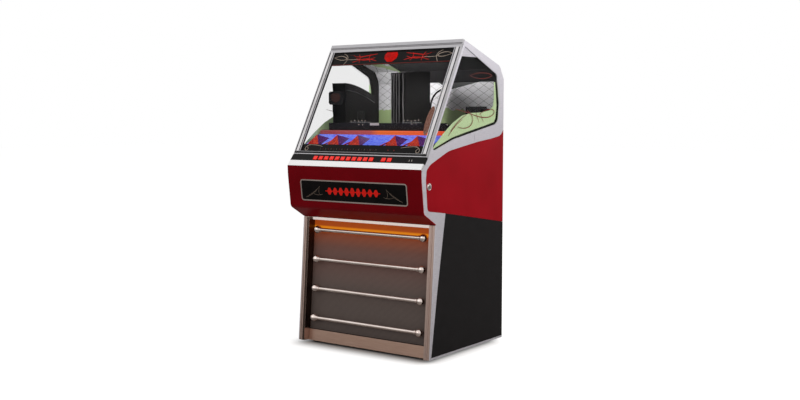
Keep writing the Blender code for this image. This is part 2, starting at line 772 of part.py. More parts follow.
def make_front_panel():
    """Red bulging front, folded from the ledge down to the grille recess."""
    down = (SILHOUETTE[KINK] - SILHOUETTE[BULGE_LOW]).normalized()
    lower_front = (SILHOUETTE[KINK] - SILHOUETTE[0]).normalized()
    end = SILHOUETTE[KINK] - down * CLEARANCE
    outer = [SILHOUETTE[i] for i in (BULGE_TOP, BULGE_MID, BULGE_LOW)] + [end]
    depths = [0.0] + [FRONT_THICKNESS] * 3 + [0.0] * (len(SILHOUETTE) - 4)
    shell = inset(SILHOUETTE, depths)
    inner_low = shell[BULGE_LOW]
    inner_mid = shell[BULGE_MID]
    inner_end = meet(end, lower_front, inner_low, down)
    ledge = (SILHOUETTE[GLASS_FOOT] - SILHOUETTE[BULGE_TOP]).normalized()
    across_ledge = Vector((-ledge.y, ledge.x))
    wall = SILHOUETTE[BULGE_TOP] - SILHOUETTE[BULGE_MID]
    inner_top = meet(SILHOUETTE[BULGE_TOP], across_ledge, inner_mid, wall)
    points = outer + [inner_end, inner_low, inner_mid, inner_top]
    radii = [0.0, FRONT_MID_RADIUS, FRONT_LOW_RADIUS, 0.0, 0.0,
             FRONT_LOW_RADIUS - FRONT_THICKNESS, FRONT_MID_RADIUS - FRONT_THICKNESS, 0.0]
    outline = rounded(points, radii)
    add_extrusion("front_panel", [outline], side_place, -HALF_WIDTH, HALF_WIDTH, "red_paint")


def make_plaque():
    """Framed plate on the red front."""
    face = leaning_face(SILHOUETTE[BULGE_LOW], SILHOUETTE[BULGE_MID])
    centre = (0.0, PLAQUE_RISE)
    outer = rounded_rectangle(centre, PLAQUE_WIDTH, PLAQUE_HEIGHT, PLAQUE_RADIUS)
    inner_width = PLAQUE_WIDTH - 2 * PLAQUE_BORDER
    inner_height = PLAQUE_HEIGHT - 2 * PLAQUE_BORDER
    inner = rounded_rectangle(centre, inner_width, inner_height, PLAQUE_RADIUS - PLAQUE_BORDER)
    add_extrusion("plaque_bezel", [outer, inner], face, CLEARANCE, PLAQUE_PROUD, "chrome")
    plate = rounded_rectangle(centre, inner_width - 2 * CLEARANCE, inner_height - 2 * CLEARANCE,
                              PLAQUE_RADIUS - PLAQUE_BORDER)
    add_extrusion("plaque_plate", [plate], face, CLEARANCE, PLAQUE_PLATE_PROUD, "black_plastic")


def button_places():
    """Distances across the cabinet of the row of buttons and of the pair beside it."""
    row = [BUTTON_ROW_START + BUTTON_PITCH * i for i in range(BUTTON_ROW_COUNT)]
    pair = [BUTTON_PAIR_START + BUTTON_PITCH * i for i in range(BUTTON_PAIR_COUNT)]
    return row + pair


def make_controls():
    """Control strip with its buttons and display pocket, and the ledge below it."""
    head, foot = SILHOUETTE[GLASS_FOOT], SILHOUETTE[BULGE_TOP]
    face = leaning_face(foot, head)
    length = (head - foot).length
    split = length - CONTROL_LENGTH - CLEARANCE
    button_rise = length - BUTTON_DROP
    slots = []
    for across in button_places():
        slots.append(rectangle((across, button_rise), BUTTON_WIDTH + 2 * CLEARANCE,
                               BUTTON_LENGTH + 2 * CLEARANCE))
    strip = rectangle((0.0, split + CLEARANCE + CONTROL_LENGTH / 2), CABINET_WIDTH, CONTROL_LENGTH)
    panel = add_extrusion("control_panel", [strip] + slots, face, -CONTROL_THICKNESS, 0.0, "black_plastic")
    window = rectangle((DISPLAY_ACROSS, button_rise), DISPLAY_WIDTH, DISPLAY_LENGTH)
    pocket = cutter("display_pocket", [window], face, -DISPLAY_DEPTH, OVERRUN)
    combine(panel, pocket, "DIFFERENCE")
    for number, across in enumerate(button_places(), start=1):
        make_button("button_%02d" % number, face, across, button_rise)
    ledge = [
        (CLEARANCE, 0.0),
        (split, 0.0),
        (split, -LEDGE_THICKNESS),
        (CLEARANCE, -LEDGE_THICKNESS),
    ]
    ledge = rounded(ledge, [LEDGE_EDGE_RADIUS, 0.0, 0.0, 0.0])
    add_extrusion("ledge_trim", [ledge], as_section(face), -HALF_WIDTH, HALF_WIDTH, "aluminium")


def make_button(name, face, across, rise):
    """Push button with a chamfered cap and a flange that holds it behind the strip."""
    builder = bmesh.new()
    centre = Vector((across, rise))
    flange_front = -CONTROL_THICKNESS - CLEARANCE
    flange_back = flange_front - BUTTON_FLANGE_THICKNESS
    layers = [
        (BUTTON_PROUD - BUTTON_THICKNESS, 0.0, 0.0),
        (flange_back, 0.0, 0.0),
        (flange_back, BUTTON_FLANGE, 0.0),
        (flange_front, BUTTON_FLANGE, 0.0),
        (flange_front, 0.0, 0.0),
        (BUTTON_PROUD - BUTTON_BEVEL, 0.0, 0.0),
        (BUTTON_PROUD, 0.0, BUTTON_BEVEL),
    ]
    rings = []
    for out, grow, bevel in layers:
        half_width = BUTTON_WIDTH / 2 + grow - bevel
        half_length = BUTTON_LENGTH / 2 + grow - bevel
        corners = rectangle(centre, 2 * half_width, 2 * half_length)
        rings.append([builder.verts.new(face(u, v, out)) for u, v in corners])
    for first, second in zip(rings, rings[1:]):
        for i in range(4):
            j = (i + 1) % 4
            builder.faces.new((first[i], first[j], second[j], second[i]))
    builder.faces.new(rings[0])
    builder.faces.new(rings[-1])
    add_object(name, builder, "button_red", origin=face(across, rise, 0.0))


def lower_front_face():
    """The leaning plane of the lower front."""
    return leaning_face(SILHOUETTE[0], SILHOUETTE[KINK])


def lower_front_length():
    """Height of the lower front along its lean."""
    return (SILHOUETTE[KINK] - SILHOUETTE[0]).length


def make_lower_front():
    """Steel surround of two stiles and a kick plate, the grille sheet, its trim and its bars."""
    face = lower_front_face()
    length = lower_front_length()
    stile_inner = BOARD_OUTER - STILE_WIDTH
    kick = [
        (CLEARANCE, 0.0),
        (KICK_HEIGHT, 0.0),
        (KICK_HEIGHT, -RECESS_DEPTH),
        (KICK_HEIGHT - KICK_THICKNESS, -RECESS_DEPTH),
        (KICK_HEIGHT - KICK_THICKNESS, -KICK_THICKNESS),
        (CLEARANCE, -KICK_THICKNESS),
    ]
    reach = stile_inner + STILE_FLANGE / 2
    surround = add_extrusion("front_surround", [kick], as_section(face), -reach, reach, "steel")
    bead = arc((BOARD_OUTER - STILE_WIDTH / 2, 0.0), STILE_BEAD_RADIUS, 180.0, 0.0, CURVE_STEPS)
    section = [
        (stile_inner, 0.0),
        *bead,
        (BOARD_OUTER, 0.0),
        (BOARD_OUTER, -STILE_THICKNESS),
        (stile_inner + STILE_FLANGE, -STILE_THICKNESS),
        (stile_inner + STILE_FLANGE, -RECESS_DEPTH),
        (stile_inner, -RECESS_DEPTH),
    ]
    for label, side in (("left", -1.0), ("right", 1.0)):
        mirrored = [(side * across, out) for across, out in section]
        stile = cutter("stile_" + label, [mirrored], as_run(face), CLEARANCE, length - STILE_FLANGE)
        combine(surround, stile, "UNION", "MANIFOLD")
    inside = stile_inner - CLEARANCE
    sheet_front = -RECESS_DEPTH - CLEARANCE
    sheet = [
        (KICK_HEIGHT - GRILLE_LAP, sheet_front),
        (length - STILE_FLANGE, sheet_front),
        (length - STILE_FLANGE, sheet_front - GRILLE_THICKNESS),
        (KICK_HEIGHT - GRILLE_LAP, sheet_front - GRILLE_THICKNESS),
    ]
    add_extrusion("grille_panel", [sheet], as_section(face), -INSIDE, INSIDE, "black_steel")
    trim_top = length - STILE_FLANGE
    trim = rectangle((trim_top - GRILLE_TRIM_HEIGHT / 2, -GRILLE_TRIM_SETBACK - GRILLE_TRIM_DEPTH / 2),
                     GRILLE_TRIM_HEIGHT, GRILLE_TRIM_DEPTH)
    add_extrusion("grille_top_trim", [trim], as_section(face), -inside, inside, "chrome")
    make_grille_bars(face, length)


def make_grille_bars(face, length):
    """Four chrome bars with ball ends, each on two posts that stand on the grille sheet."""
    half_ball = []
    for step in range(CURVE_STEPS):
        angle = math.radians(180.0 - BAR_BALL_SWEEP * step / CURVE_STEPS)
        half_ball.append((BAR_BALL_RADIUS * math.cos(angle) - BAR_HALF_LENGTH,
                          BAR_BALL_RADIUS * math.sin(angle) if step else 0.0))
    neck = BAR_BALL_RADIUS * math.cos(math.radians(180.0 - BAR_BALL_SWEEP)) - BAR_HALF_LENGTH
    left = half_ball + [
        (neck, BAR_COLLAR_RADIUS),
        (neck + BAR_COLLAR_LENGTH, BAR_COLLAR_RADIUS),
        (neck + BAR_COLLAR_LENGTH, BAR_RADIUS),
    ]
    profile = left + [(-along, radius) for along, radius in reversed(left)]
    pitch = (length - BAR_TOP_DROP - KICK_HEIGHT - BAR_FOOT_GAP) / (BAR_COUNT - 1)
    for number in range(BAR_COUNT):
        rise = length - BAR_TOP_DROP - number * pitch
        centre = face(0.0, rise, -BAR_SETBACK)
        bar = bmesh.new()
        turn(bar, profile, along_x(centre.y, centre.z), BAR_SIDES)
        model = add_object("grille_bar_%d" % (number + 1), bar, "chrome", smooth=True)
        posts = bmesh.new()
        for side in (-1.0, 1.0):
            post = circle((side * BAR_HALF_LENGTH, rise), BAR_POST_RADIUS, BAR_SIDES)
            extrude(posts, [post], face, -RECESS_DEPTH, -BAR_SETBACK)
        tool = add_object("bar_posts_%d" % (number + 1), posts, "chrome")
        combine(model, tool, "UNION")


def driver_profile(seat, radius, hole, depth):
    """Section of a loudspeaker as (along, radius), from the cone's middle round to the magnet."""
    cone = [(seat - depth * down, hole * wide) for down, wide in CONE_SHARES]
    flange = [(seat, radius), (seat - SPEAKER_FLANGE, radius)]
    magnet = [(seat - depth * down, hole * wide) for down, wide in MAGNET_SHARES]
    return cone + flange + magnet


def make_speakers():
    """Baffle board with its tweeters, and two woofers behind it."""
    face = lower_front_face()
    front = -RECESS_DEPTH - CLEARANCE - GRILLE_THICKNESS - BAFFLE_GAP
    back = front - BAFFLE_THICKNESS
    low = BASE_BOARD_THICKNESS + BAFFLE_FOOT
    high = lower_front_length() - BAFFLE_TOP_MARGIN
    tweeter_rise = high - TWEETER_DROP
    board = rectangle((0.0, (low + high) / 2), 2 * INSIDE, high - low)
    holes = []
    tweeters = bmesh.new()
    for label, side in (("left", -1.0), ("right", 1.0)):
        holes.append(circle((side * SPEAKER_ACROSS, WOOFER_RISE), WOOFER_HOLE_RADIUS, SPEAKER_SIDES))
        holes.append(circle((side * SPEAKER_ACROSS, tweeter_rise), TWEETER_HOLE_RADIUS, ROUND_SIDES))
        woofer = bmesh.new()
        place = lambda u, v, w, side=side: face(side * SPEAKER_ACROSS + u, WOOFER_RISE + v, w)
        profile = driver_profile(back - CLEARANCE, WOOFER_RADIUS, WOOFER_HOLE_RADIUS, WOOFER_DEPTH)
        turn(woofer, profile, place, SPEAKER_SIDES)
        add_object("woofer_" + label, woofer, "speaker_cone", smooth=True)
        place = lambda u, v, w, side=side: face(side * SPEAKER_ACROSS + u, tweeter_rise + v, w)
        seat = back + SPEAKER_FLANGE / 2
        profile = driver_profile(seat, TWEETER_RADIUS, TWEETER_HOLE_RADIUS, TWEETER_DEPTH)
        turn(tweeters, profile, place, ROUND_SIDES)
    baffle = add_extrusion("speaker_baffle", [board] + holes, face, back, front, "plywood")
    combine(baffle, add_object("tweeters", tweeters, "speaker_cone"), "UNION")


def make_amplifier():
    """Amplifier with a finned top, on the base board."""
    low = FOOT_HEIGHT + BASE_BOARD_THICKNESS + CLEARANCE
    body_top = low + AMPLIFIER_HEIGHT - FIN_HEIGHT
    pitch = AMPLIFIER_WIDTH / (FIN_COUNT - 1 + FIN_SHARE)
    fin = pitch * FIN_SHARE
    section = [(-AMPLIFIER_WIDTH / 2, low)]
    for number in range(FIN_COUNT):
        start = -AMPLIFIER_WIDTH / 2 + number * pitch
        if number > 0:
            section.append((start, body_top))
        section += [(start, body_top + FIN_HEIGHT), (start + fin, body_top + FIN_HEIGHT)]
        if number < FIN_COUNT - 1:
            section.append((start + fin, body_top))
    section.append((AMPLIFIER_WIDTH / 2, low))
    rear = CABINET_DEPTH / 2 - AMPLIFIER_REAR_GAP
    add_extrusion("amplifier", [section], lambda x, z, y: Vector((x, y, z)),
                  rear - AMPLIFIER_DEPTH, rear, "black_steel")


def make_title_display():
    """Lit title panel with its pyramids, and the light bar above it."""
    glass = leaning_face(SILHOUETTE[GLASS_FOOT], SILHOUETTE[GLASS_HEAD])
    front = glass(0.0, TITLE_FRONT_RISE, -TITLE_FRONT_SETBACK)
    foot = Vector((front.y, front.z))
    head = Vector((TITLE_REAR_Y, TITLE_REAR_Z))
    face = leaning_face(foot, head)
    length = (head - foot).length
    section = rectangle((length / 2, -TITLE_THICKNESS / 2), length, TITLE_THICKNESS)
    panel = add_extrusion("title_panel", [section], as_section(face), -INSIDE, INSIDE, "title_blue")
    start = length * PYRAMID_BASE_START_SHARE
    end = length * PYRAMID_BASE_END_SHARE
    for first, count in ((PYRAMIDS_LEFT_START, PYRAMIDS_LEFT_COUNT),
                         (PYRAMIDS_RIGHT_START, PYRAMIDS_RIGHT_COUNT)):
        for number in range(count):
            across = first + PYRAMID_PITCH * number
            base = rectangle((across, (start + end) / 2), 2 * PYRAMID_HALF_BASE, end - start)
            pyramid = bmesh.new()
            corners = [pyramid.verts.new(face(u, v, -PYRAMID_SINK)) for u, v in base]
            peak = face(across, length * PYRAMID_APEX_SHARE, PYRAMID_HEIGHT)
            apex = pyramid.verts.new(peak)
            pyramid.faces.new(corners)
            for i in range(4):
                pyramid.faces.new((corners[i], corners[(i + 1) % 4], apex))
            combine(panel, add_object("pyramid_block", pyramid, "title_blue"), "UNION")
    rear = DECK_FRONT_Y - CLEARANCE
    low = TITLE_REAR_Z + CLEARANCE
    bar = [
        (rear - LIGHT_BAR_DEPTH, low),
        (rear, low),
        (rear, low + LIGHT_BAR_HEIGHT),
        (rear - LIGHT_BAR_DEPTH, low + LIGHT_BAR_HEIGHT),
    ]
    bar = rounded(bar, [0.0, 0.0, 0.0, LIGHT_BAR_RADIUS])
    add_extrusion("title_light_bar", [bar], side_place, -INSIDE, INSIDE, "light_orange")


def make_deck():
    """Folded steel deck that carries the record mechanism."""
    section = [
        (DECK_FRONT_Y, DECK_Z),
        (DECK_REAR_Y, DECK_Z),
        (DECK_REAR_Y, DECK_Z + DECK_REAR_HEIGHT),
        (DECK_REAR_Y - DECK_THICKNESS, DECK_Z + DECK_REAR_HEIGHT),
        (DECK_REAR_Y - DECK_THICKNESS, DECK_Z + DECK_THICKNESS),
        (DECK_FRONT_Y + DECK_THICKNESS, DECK_Z + DECK_THICKNESS),
        (DECK_FRONT_Y + DECK_THICKNESS, DECK_Z + DECK_FRONT_HEIGHT),
        (DECK_FRONT_Y, DECK_Z + DECK_FRONT_HEIGHT),
    ]
    deck = add_extrusion("mech_deck", [section], side_place, -INSIDE, INSIDE, "black_steel")
    notch = [
        (DECK_FRONT_Y - OVERRUN, DECK_Z + DECK_THICKNESS),
        (DECK_FRONT_Y + DECK_THICKNESS + OVERRUN, DECK_Z + DECK_THICKNESS),
        (DECK_FRONT_Y + DECK_THICKNESS + OVERRUN, DECK_Z + DECK_FRONT_HEIGHT + OVERRUN),
        (DECK_FRONT_Y - OVERRUN, DECK_Z + DECK_FRONT_HEIGHT + OVERRUN),
    ]
    combine(deck, cutter("lip_notch", [notch], side_place, -INSIDE - OVERRUN, RACK_LEFT_X), "DIFFERENCE")
    for label, y in (("front", RAIL_FRONT_Y), ("rear", RAIL_REAR_Y)):
        rod = circle((0.0, 0.0), RAIL_RADIUS)
        add_extrusion("carriage_rail_" + label, [rod], along_x(y, RAIL_Z), -INSIDE, INSIDE,
                      "chrome", smooth=True)


def rack_floor():
    """Height on which the records stand."""
    return DECK_Z + DECK_THICKNESS + CLEARANCE + RACK_BASE


def cover_height(y):
    """Height of the leaning glass or the roof over a place."""
    head = SILHOUETTE[GLASS_HEAD]
    end = SILHOUETTE[GLASS_FOOT] if y < head.x else SILHOUETTE[ROOF_REAR]
    return head.y + (end.y - head.y) * (y - head.x) / (end.x - head.x)


def make_rack(name, x, front, headroom, fall_share):
    """Record rack: a comb of thin fins whose tops curve away to the rear."""
    base_z = DECK_Z + DECK_THICKNESS + CLEARANCE
    floor = base_z + RACK_BASE
    top = cover_height(front) - headroom
    height = top - base_z
    pitch = (RACK_WIDTH - RACK_CHEEK_THICKNESS) / (RACK_FINS + 1)
    comb = [(x, base_z)]
    for number in range(RACK_FINS + 2):
        start = x + number * pitch
        thickness = RACK_FIN_THICKNESS
        if number in (0, RACK_FINS + 1):
            thickness = RACK_CHEEK_THICKNESS
        if number > 0:
            comb.append((start, floor))
        comb += [(start, top + OVERRUN), (start + thickness, top + OVERRUN)]
        if number <= RACK_FINS:
            comb.append((start + thickness, floor))
    comb.append((x + RACK_WIDTH, base_z))
    depth = RACK_REAR_Y - front
    model = add_extrusion(name, [comb], lambda u, v, w: Vector((u, w, v)),
                          front - OVERRUN, RACK_REAR_Y + OVERRUN, "black_plastic")
    fall = height * fall_share
    crown = []
    for step in range(RACK_EDGE_STEPS + 1):
        share = step / RACK_EDGE_STEPS
        crown.append((front + depth * share, top - fall * share ** RACK_FALL_POWER))
    wave = []
    for step in range(RACK_EDGE_STEPS):
        share = step / RACK_EDGE_STEPS
        bow = RACK_WAVE * math.sin(2 * math.pi * share) ** 2
        wave.append((front + bow, base_z + height * share))
    outline = wave + crown + [(RACK_REAR_Y, base_z)]
    tool = cutter("outline_" + name, [outline], side_place, x - OVERRUN, x + RACK_WIDTH + OVERRUN)
    combine(model, tool, "INTERSECT")
    return model


def make_racks():
    """Two racks with a record standing in each slot, its rim seated in the rack's floor."""
    pitch = (RACK_WIDTH - RACK_CHEEK_THICKNESS) / (RACK_FINS + 1)
    centre_z = rack_floor() - RECORD_SEAT + RECORD_RADIUS
    for name, x, setback, headroom, fall_share in (
        ("rack_left", RACK_LEFT_X, RACK_LEFT_SETBACK, RACK_LEFT_HEADROOM, RACK_LEFT_FALL_SHARE),
        ("rack_right", RACK_RIGHT_X, RACK_RIGHT_SETBACK, RACK_RIGHT_HEADROOM, RACK_RIGHT_FALL_SHARE),
    ):
        front = DECK_FRONT_Y + setback
        record_y = (front + RACK_REAR_Y) / 2 - RACK_RECORD_SHIFT
        rack = make_rack(name, x, front, headroom, fall_share)
        records = bmesh.new()
        for slot in range(RACK_FINS + 1):
            left_wall = RACK_FIN_THICKNESS if slot else RACK_CHEEK_THICKNESS
            middle = x + slot * pitch + (left_wall + pitch) / 2
            disc = circle((0.0, 0.0), RECORD_RADIUS, RECORD_SIDES)
            extrude(records, [disc], along_x(record_y, centre_z, middle),
                    -RECORD_THICKNESS / 2, RECORD_THICKNESS / 2)
        combine(rack, add_object("records_" + name, records, "vinyl"), "UNION")


def make_drive():
    """Geared motor that shifts the carriage, on the deck at the right."""
    low = DECK_Z + DECK_THICKNESS + CLEARANCE
    middle_y = (DRIVE_FRONT_Y + DRIVE_REAR_Y) / 2
    top = DRIVE_TOP_Z
    outline = [(DRIVE_FRONT_Y, low), (DRIVE_REAR_Y, low), (DRIVE_REAR_Y, top), (DRIVE_FRONT_Y, top)]
    outline = rounded(outline, [0.0, 0.0, DRIVE_RADIUS, DRIVE_RADIUS])
    bore = circle((RAIL_REAR_Y, RAIL_Z), RAIL_RADIUS + CLEARANCE)
    model = add_extrusion("drive_motor", [outline, bore], side_place,
                          DRIVE_X, DRIVE_X + DRIVE_LENGTH, "black_steel")
    motor = bmesh.new()
    end = DRIVE_X + DRIVE_LENGTH + DRIVE_MOTOR_LENGTH
    profile = [
        (DRIVE_X + DRIVE_LENGTH - OVERRUN, 0.0),
        (DRIVE_X + DRIVE_LENGTH - OVERRUN, DRIVE_MOTOR_RADIUS),
        (end - DRIVE_RADIUS / 2, DRIVE_MOTOR_RADIUS),
        (end, DRIVE_MOTOR_RADIUS - DRIVE_RADIUS / 2),
        (end, 0.0),
    ]
    turn(motor, profile, along_x(middle_y, top - DRIVE_MOTOR_RADIUS - DRIVE_RADIUS), ROUND_SIDES)
    tool = add_object("motor_can", motor, "black_steel")
    combine(model, tool, "UNION")


def make_player():
    """Travelling play unit: carriage with the turntable's motor, turntable, clamp and tonearm."""
    travel = add_empty("carriage_travel", Vector((PLAYER_X, PLAYER_Y, RAIL_Z)))
    centre = (PLAYER_Y, PLAYER_Z)
    pivot = (ARM_PIVOT_Y, ARM_PIVOT_Z)
    block = [
        (RAIL_FRONT_Y - CARRIAGE_MARGIN, CARRIAGE_LOW_Z),
        (RAIL_REAR_Y + CARRIAGE_MARGIN, CARRIAGE_LOW_Z),
        (RAIL_REAR_Y + CARRIAGE_MARGIN, CARRIAGE_TOP_Z),
        (RAIL_FRONT_Y - CARRIAGE_MARGIN, CARRIAGE_TOP_Z),
    ]
    bores = [circle((y, RAIL_Z), RAIL_RADIUS + CLEARANCE) for y in (RAIL_FRONT_Y, RAIL_REAR_Y)]
    carriage = add_extrusion("carriage", [block] + bores, side_place, PLAYER_X - CARRIAGE_HALF_LENGTH,
                             PLAYER_X + CARRIAGE_HALF_LENGTH, "black_steel",
                             origin=travel.location, parent=travel)
    foot = CARRIAGE_TOP_Z - BRACKET_SINK
    head = PLAYER_Z + BRACKET_HALF_WIDTH
    upright = [
        (PLAYER_Y - BRACKET_FOOT_HALF_WIDTH, foot),
        (PLAYER_Y + BRACKET_FOOT_HALF_WIDTH, foot),
        (PLAYER_Y + BRACKET_HALF_WIDTH, head),
        (PLAYER_Y - BRACKET_HALF_WIDTH, head),
    ]
    reach = ARM_PIVOT_Z + ARM_BOSS_RADIUS
    corner = [
        (PLAYER_Y - BRACKET_HALF_WIDTH, foot),
        (RAIL_REAR_Y + CARRIAGE_MARGIN + ARM_BOSS_RADIUS, foot),
        (RAIL_REAR_Y + CARRIAGE_MARGIN + ARM_BOSS_RADIUS, reach),
        (PLAYER_Y + BRACKET_HALF_WIDTH, head),
        (PLAYER_Y - BRACKET_HALF_WIDTH, head),
    ]
    side_radius = BRACKET_HALF_WIDTH / 2
    upright = rounded(upright, [0.0, 0.0, side_radius, side_radius])
    corner = rounded(corner, [0.0, 0.0, ARM_BOSS_RADIUS / 2, side_radius, side_radius])
    for label, x, outline, holes in (
        ("table", TABLE_BRACKET_X, upright, [circle(centre, BORE_RADIUS)]),
        ("arm", ARM_BRACKET_X, corner, [circle(centre, BORE_RADIUS), circle(pivot, BORE_RADIUS)]),
    ):
        start = PLAYER_X + x
        bracket = cutter("bracket_" + label, [outline] + holes, side_place, start, start + BRACKET_THICKNESS)
        combine(carriage, bracket, "UNION")
    motor = bmesh.new()
    face = TABLE_BRACKET_X + BRACKET_THICKNESS / 2
    inner = TABLE_BRACKET_X - SPINDLE_OVERHANG - CLEARANCE
    far_end = inner - PLAY_MOTOR_LENGTH
    profile = [
        (far_end, 0.0),
        (far_end, PLAY_MOTOR_RADIUS - PLAY_MOTOR_BEVEL),
        (far_end + PLAY_MOTOR_BEVEL, PLAY_MOTOR_RADIUS),
        (face, PLAY_MOTOR_RADIUS),
        (face, BORE_RADIUS),
        (inner, BORE_RADIUS),
        (inner, 0.0),
    ]
    turn(motor, profile, along_x(*centre, PLAYER_X), ROUND_SIDES)
    combine(carriage, add_object("turntable_motor", motor, "steel"), "UNION")
    make_turntable(travel)
    make_clamp(travel)
    make_tonearm(travel)


def make_turntable(travel):
    """Turntable flange on its spindle, and the record that is played."""
    axis = Vector((PLAYER_X, PLAYER_Y, PLAYER_Z))
    place = along_x(PLAYER_Y, PLAYER_Z, PLAYER_X)
    motor_face = TABLE_BRACKET_X - SPINDLE_OVERHANG
    table = bmesh.new()
    profile = [
        (motor_face, 0.0),
        (motor_face, SPINDLE_RADIUS),
        (-CLEARANCE - FLANGE_THICKNESS, SPINDLE_RADIUS),
        (-CLEARANCE - FLANGE_THICKNESS, FLANGE_RADIUS),
        (-CLEARANCE, FLANGE_RADIUS),
        (-CLEARANCE, HUB_RADIUS),
        (RECORD_THICKNESS, HUB_RADIUS),
        (RECORD_THICKNESS, 0.0),
    ]
    turn(table, profile, place, RECORD_SIDES)
    add_object("turntable", table, "aluminium", origin=axis, parent=travel, smooth=True)
    record = bmesh.new()
    rim = circle((0.0, 0.0), RECORD_RADIUS, RECORD_SIDES)
    bore = circle((0.0, 0.0), RECORD_BORE_RADIUS, RECORD_SIDES)
    extrude(record, [rim, bore], place, 0.0, RECORD_THICKNESS)
    add_object("played_record", record, "vinyl", origin=axis, parent=travel)


def make_clamp(travel):
    """Sliding clamp that presses the record against the turntable."""
    axis = Vector((PLAYER_X, PLAYER_Y, PLAYER_Z))
    face = RECORD_THICKNESS + CLEARANCE
    outer = ARM_BRACKET_X + BRACKET_THICKNESS + CLAMP_SHAFT_OVERHANG
    clamp = bmesh.new()
    profile = [
        (face, 0.0),
        (face, CLAMP_RADIUS),
        (face + CLAMP_THICKNESS / 2, CLAMP_RADIUS),
        (face + CLAMP_THICKNESS, CLAMP_KNOB_RADIUS),
        (face + CLAMP_THICKNESS, SPINDLE_RADIUS),
        (outer, SPINDLE_RADIUS),
        (outer, CLAMP_KNOB_RADIUS),
        (outer + CLAMP_KNOB_LENGTH, CLAMP_KNOB_RADIUS),
        (outer + CLAMP_KNOB_LENGTH, 0.0),
    ]
    turn(clamp, profile, along_x(PLAYER_Y, PLAYER_Z, PLAYER_X), ROUND_SIDES)
    add_object("record_clamp", clamp, "steel", origin=axis, parent=travel, smooth=True)


def make_tonearm(travel):
    """Tonearm on a pivot across the carriage, with its head beside the record."""
    pivot = Vector((PLAYER_X, ARM_PIVOT_Y, ARM_PIVOT_Z))
    angle = math.radians(ARM_REST_ANGLE)
    along = Vector((math.cos(angle), math.sin(angle)))
    aside = Vector((-along.y, along.x))
    origin = Vector((ARM_PIVOT_Y, ARM_PIVOT_Z))

    def arm_point(distance, offset):
        return origin + along * distance + aside * offset

    tube = ARM_LENGTH - HEAD_LENGTH
    outline = [
        arm_point(-ARM_TAIL, -ARM_WIDTH / 2),
        arm_point(tube, -ARM_WIDTH / 2),
        arm_point(tube, -HEAD_WIDTH / 2),
        arm_point(ARM_LENGTH, -HEAD_WIDTH / 2),
        arm_point(ARM_LENGTH, HEAD_WIDTH / 2),
        arm_point(tube, HEAD_WIDTH / 2),
        arm_point(tube, ARM_WIDTH / 2),
        arm_point(-ARM_TAIL, ARM_WIDTH / 2),
    ]
    start = PLAYER_X + ARM_PLANE_X
    arm = add_extrusion("tonearm", [outline], side_place, start, start + ARM_THICKNESS, "aluminium",
                        origin=pivot, parent=travel)
    hub = bmesh.new()
    end = ARM_BRACKET_X + BRACKET_THICKNESS + CLEARANCE
    profile = [
        (ARM_PLANE_X - CLEARANCE, 0.0),
        (ARM_PLANE_X - CLEARANCE, ARM_BOSS_RADIUS),
        (ARM_BRACKET_X - CLEARANCE, ARM_BOSS_RADIUS),
        (ARM_BRACKET_X - CLEARANCE, SPINDLE_RADIUS),
        (end, SPINDLE_RADIUS),
        (end, 0.0),
    ]
    turn(hub, profile, along_x(ARM_PIVOT_Y, ARM_PIVOT_Z, PLAYER_X), ROUND_SIDES)
    tool = add_object("tonearm_hub", hub, "aluminium")
    combine(arm, tool, "UNION")


def make_header_rail():
    """Fixed rail along the top front edge, with the hinge's open socket."""
    face = leaning_face(SILHOUETTE[GLASS_FOOT], SILHOUETTE[GLASS_HEAD])
    length = (SILHOUETTE[GLASS_HEAD] - SILHOUETTE[GLASS_FOOT]).length
    roof = (SILHOUETTE[ROOF_REAR] - SILHOUETTE[GLASS_HEAD]).normalized()
    rise_axis = (SILHOUETTE[GLASS_HEAD] - SILHOUETTE[GLASS_FOOT]).normalized()
    out_axis = Vector((-rise_axis.y, rise_axis.x))
    roof_rise = roof.dot(rise_axis) / -roof.dot(out_axis)
    base = length - HEADER_RAIL_WIDTH
    axis = Vector((length - HINGE_DROP, -HINGE_SETBACK))
    contact = math.degrees(math.acos((base - axis.x) / HINGE_SOCKET_OUTER))

    def socket(radius, start, end):
        steps = math.ceil(abs(end - start) / HINGE_STEP_ANGLE)
        points = []
        for step in range(steps + 1):
            angle = math.radians(start + (end - start) * step / steps)
            points.append(axis + Vector((-math.cos(angle), math.sin(angle))) * radius)
        return points

    outline = [Vector((base, 0.0))]
    outline += socket(HINGE_SOCKET_OUTER, 180.0 - contact, HINGE_OPENING_START)
    outline += socket(HINGE_SOCKET_INNER, HINGE_OPENING_START, HINGE_OPENING_END)
    outline += socket(HINGE_SOCKET_OUTER, HINGE_OPENING_END, 180.0 + contact)
    outline += [
        Vector((base, -DOOR_THICKNESS)),
        Vector((length + DOOR_THICKNESS * roof_rise, -DOOR_THICKNESS)),
        Vector((length, 0.0)),
    ]
    add_extrusion("header_rail", [outline], as_section(face), -HALF_WIDTH, HALF_WIDTH, "aluminium")


def flutes(start, width):
    """Grooves across a rail's face, as (across, out) points from its start."""
    points = []
    step = width / (DOOR_FLUTE_COUNT + 1)
    for number in range(DOOR_FLUTE_COUNT):
        middle = start + step * (number + 1)
        half = math.copysign(DOOR_FLUTE_WIDTH / 2, width)
        points += [(middle - half, 0.0), (middle, -DOOR_FLUTE_DEPTH), (middle + half, 0.0)]
    return points


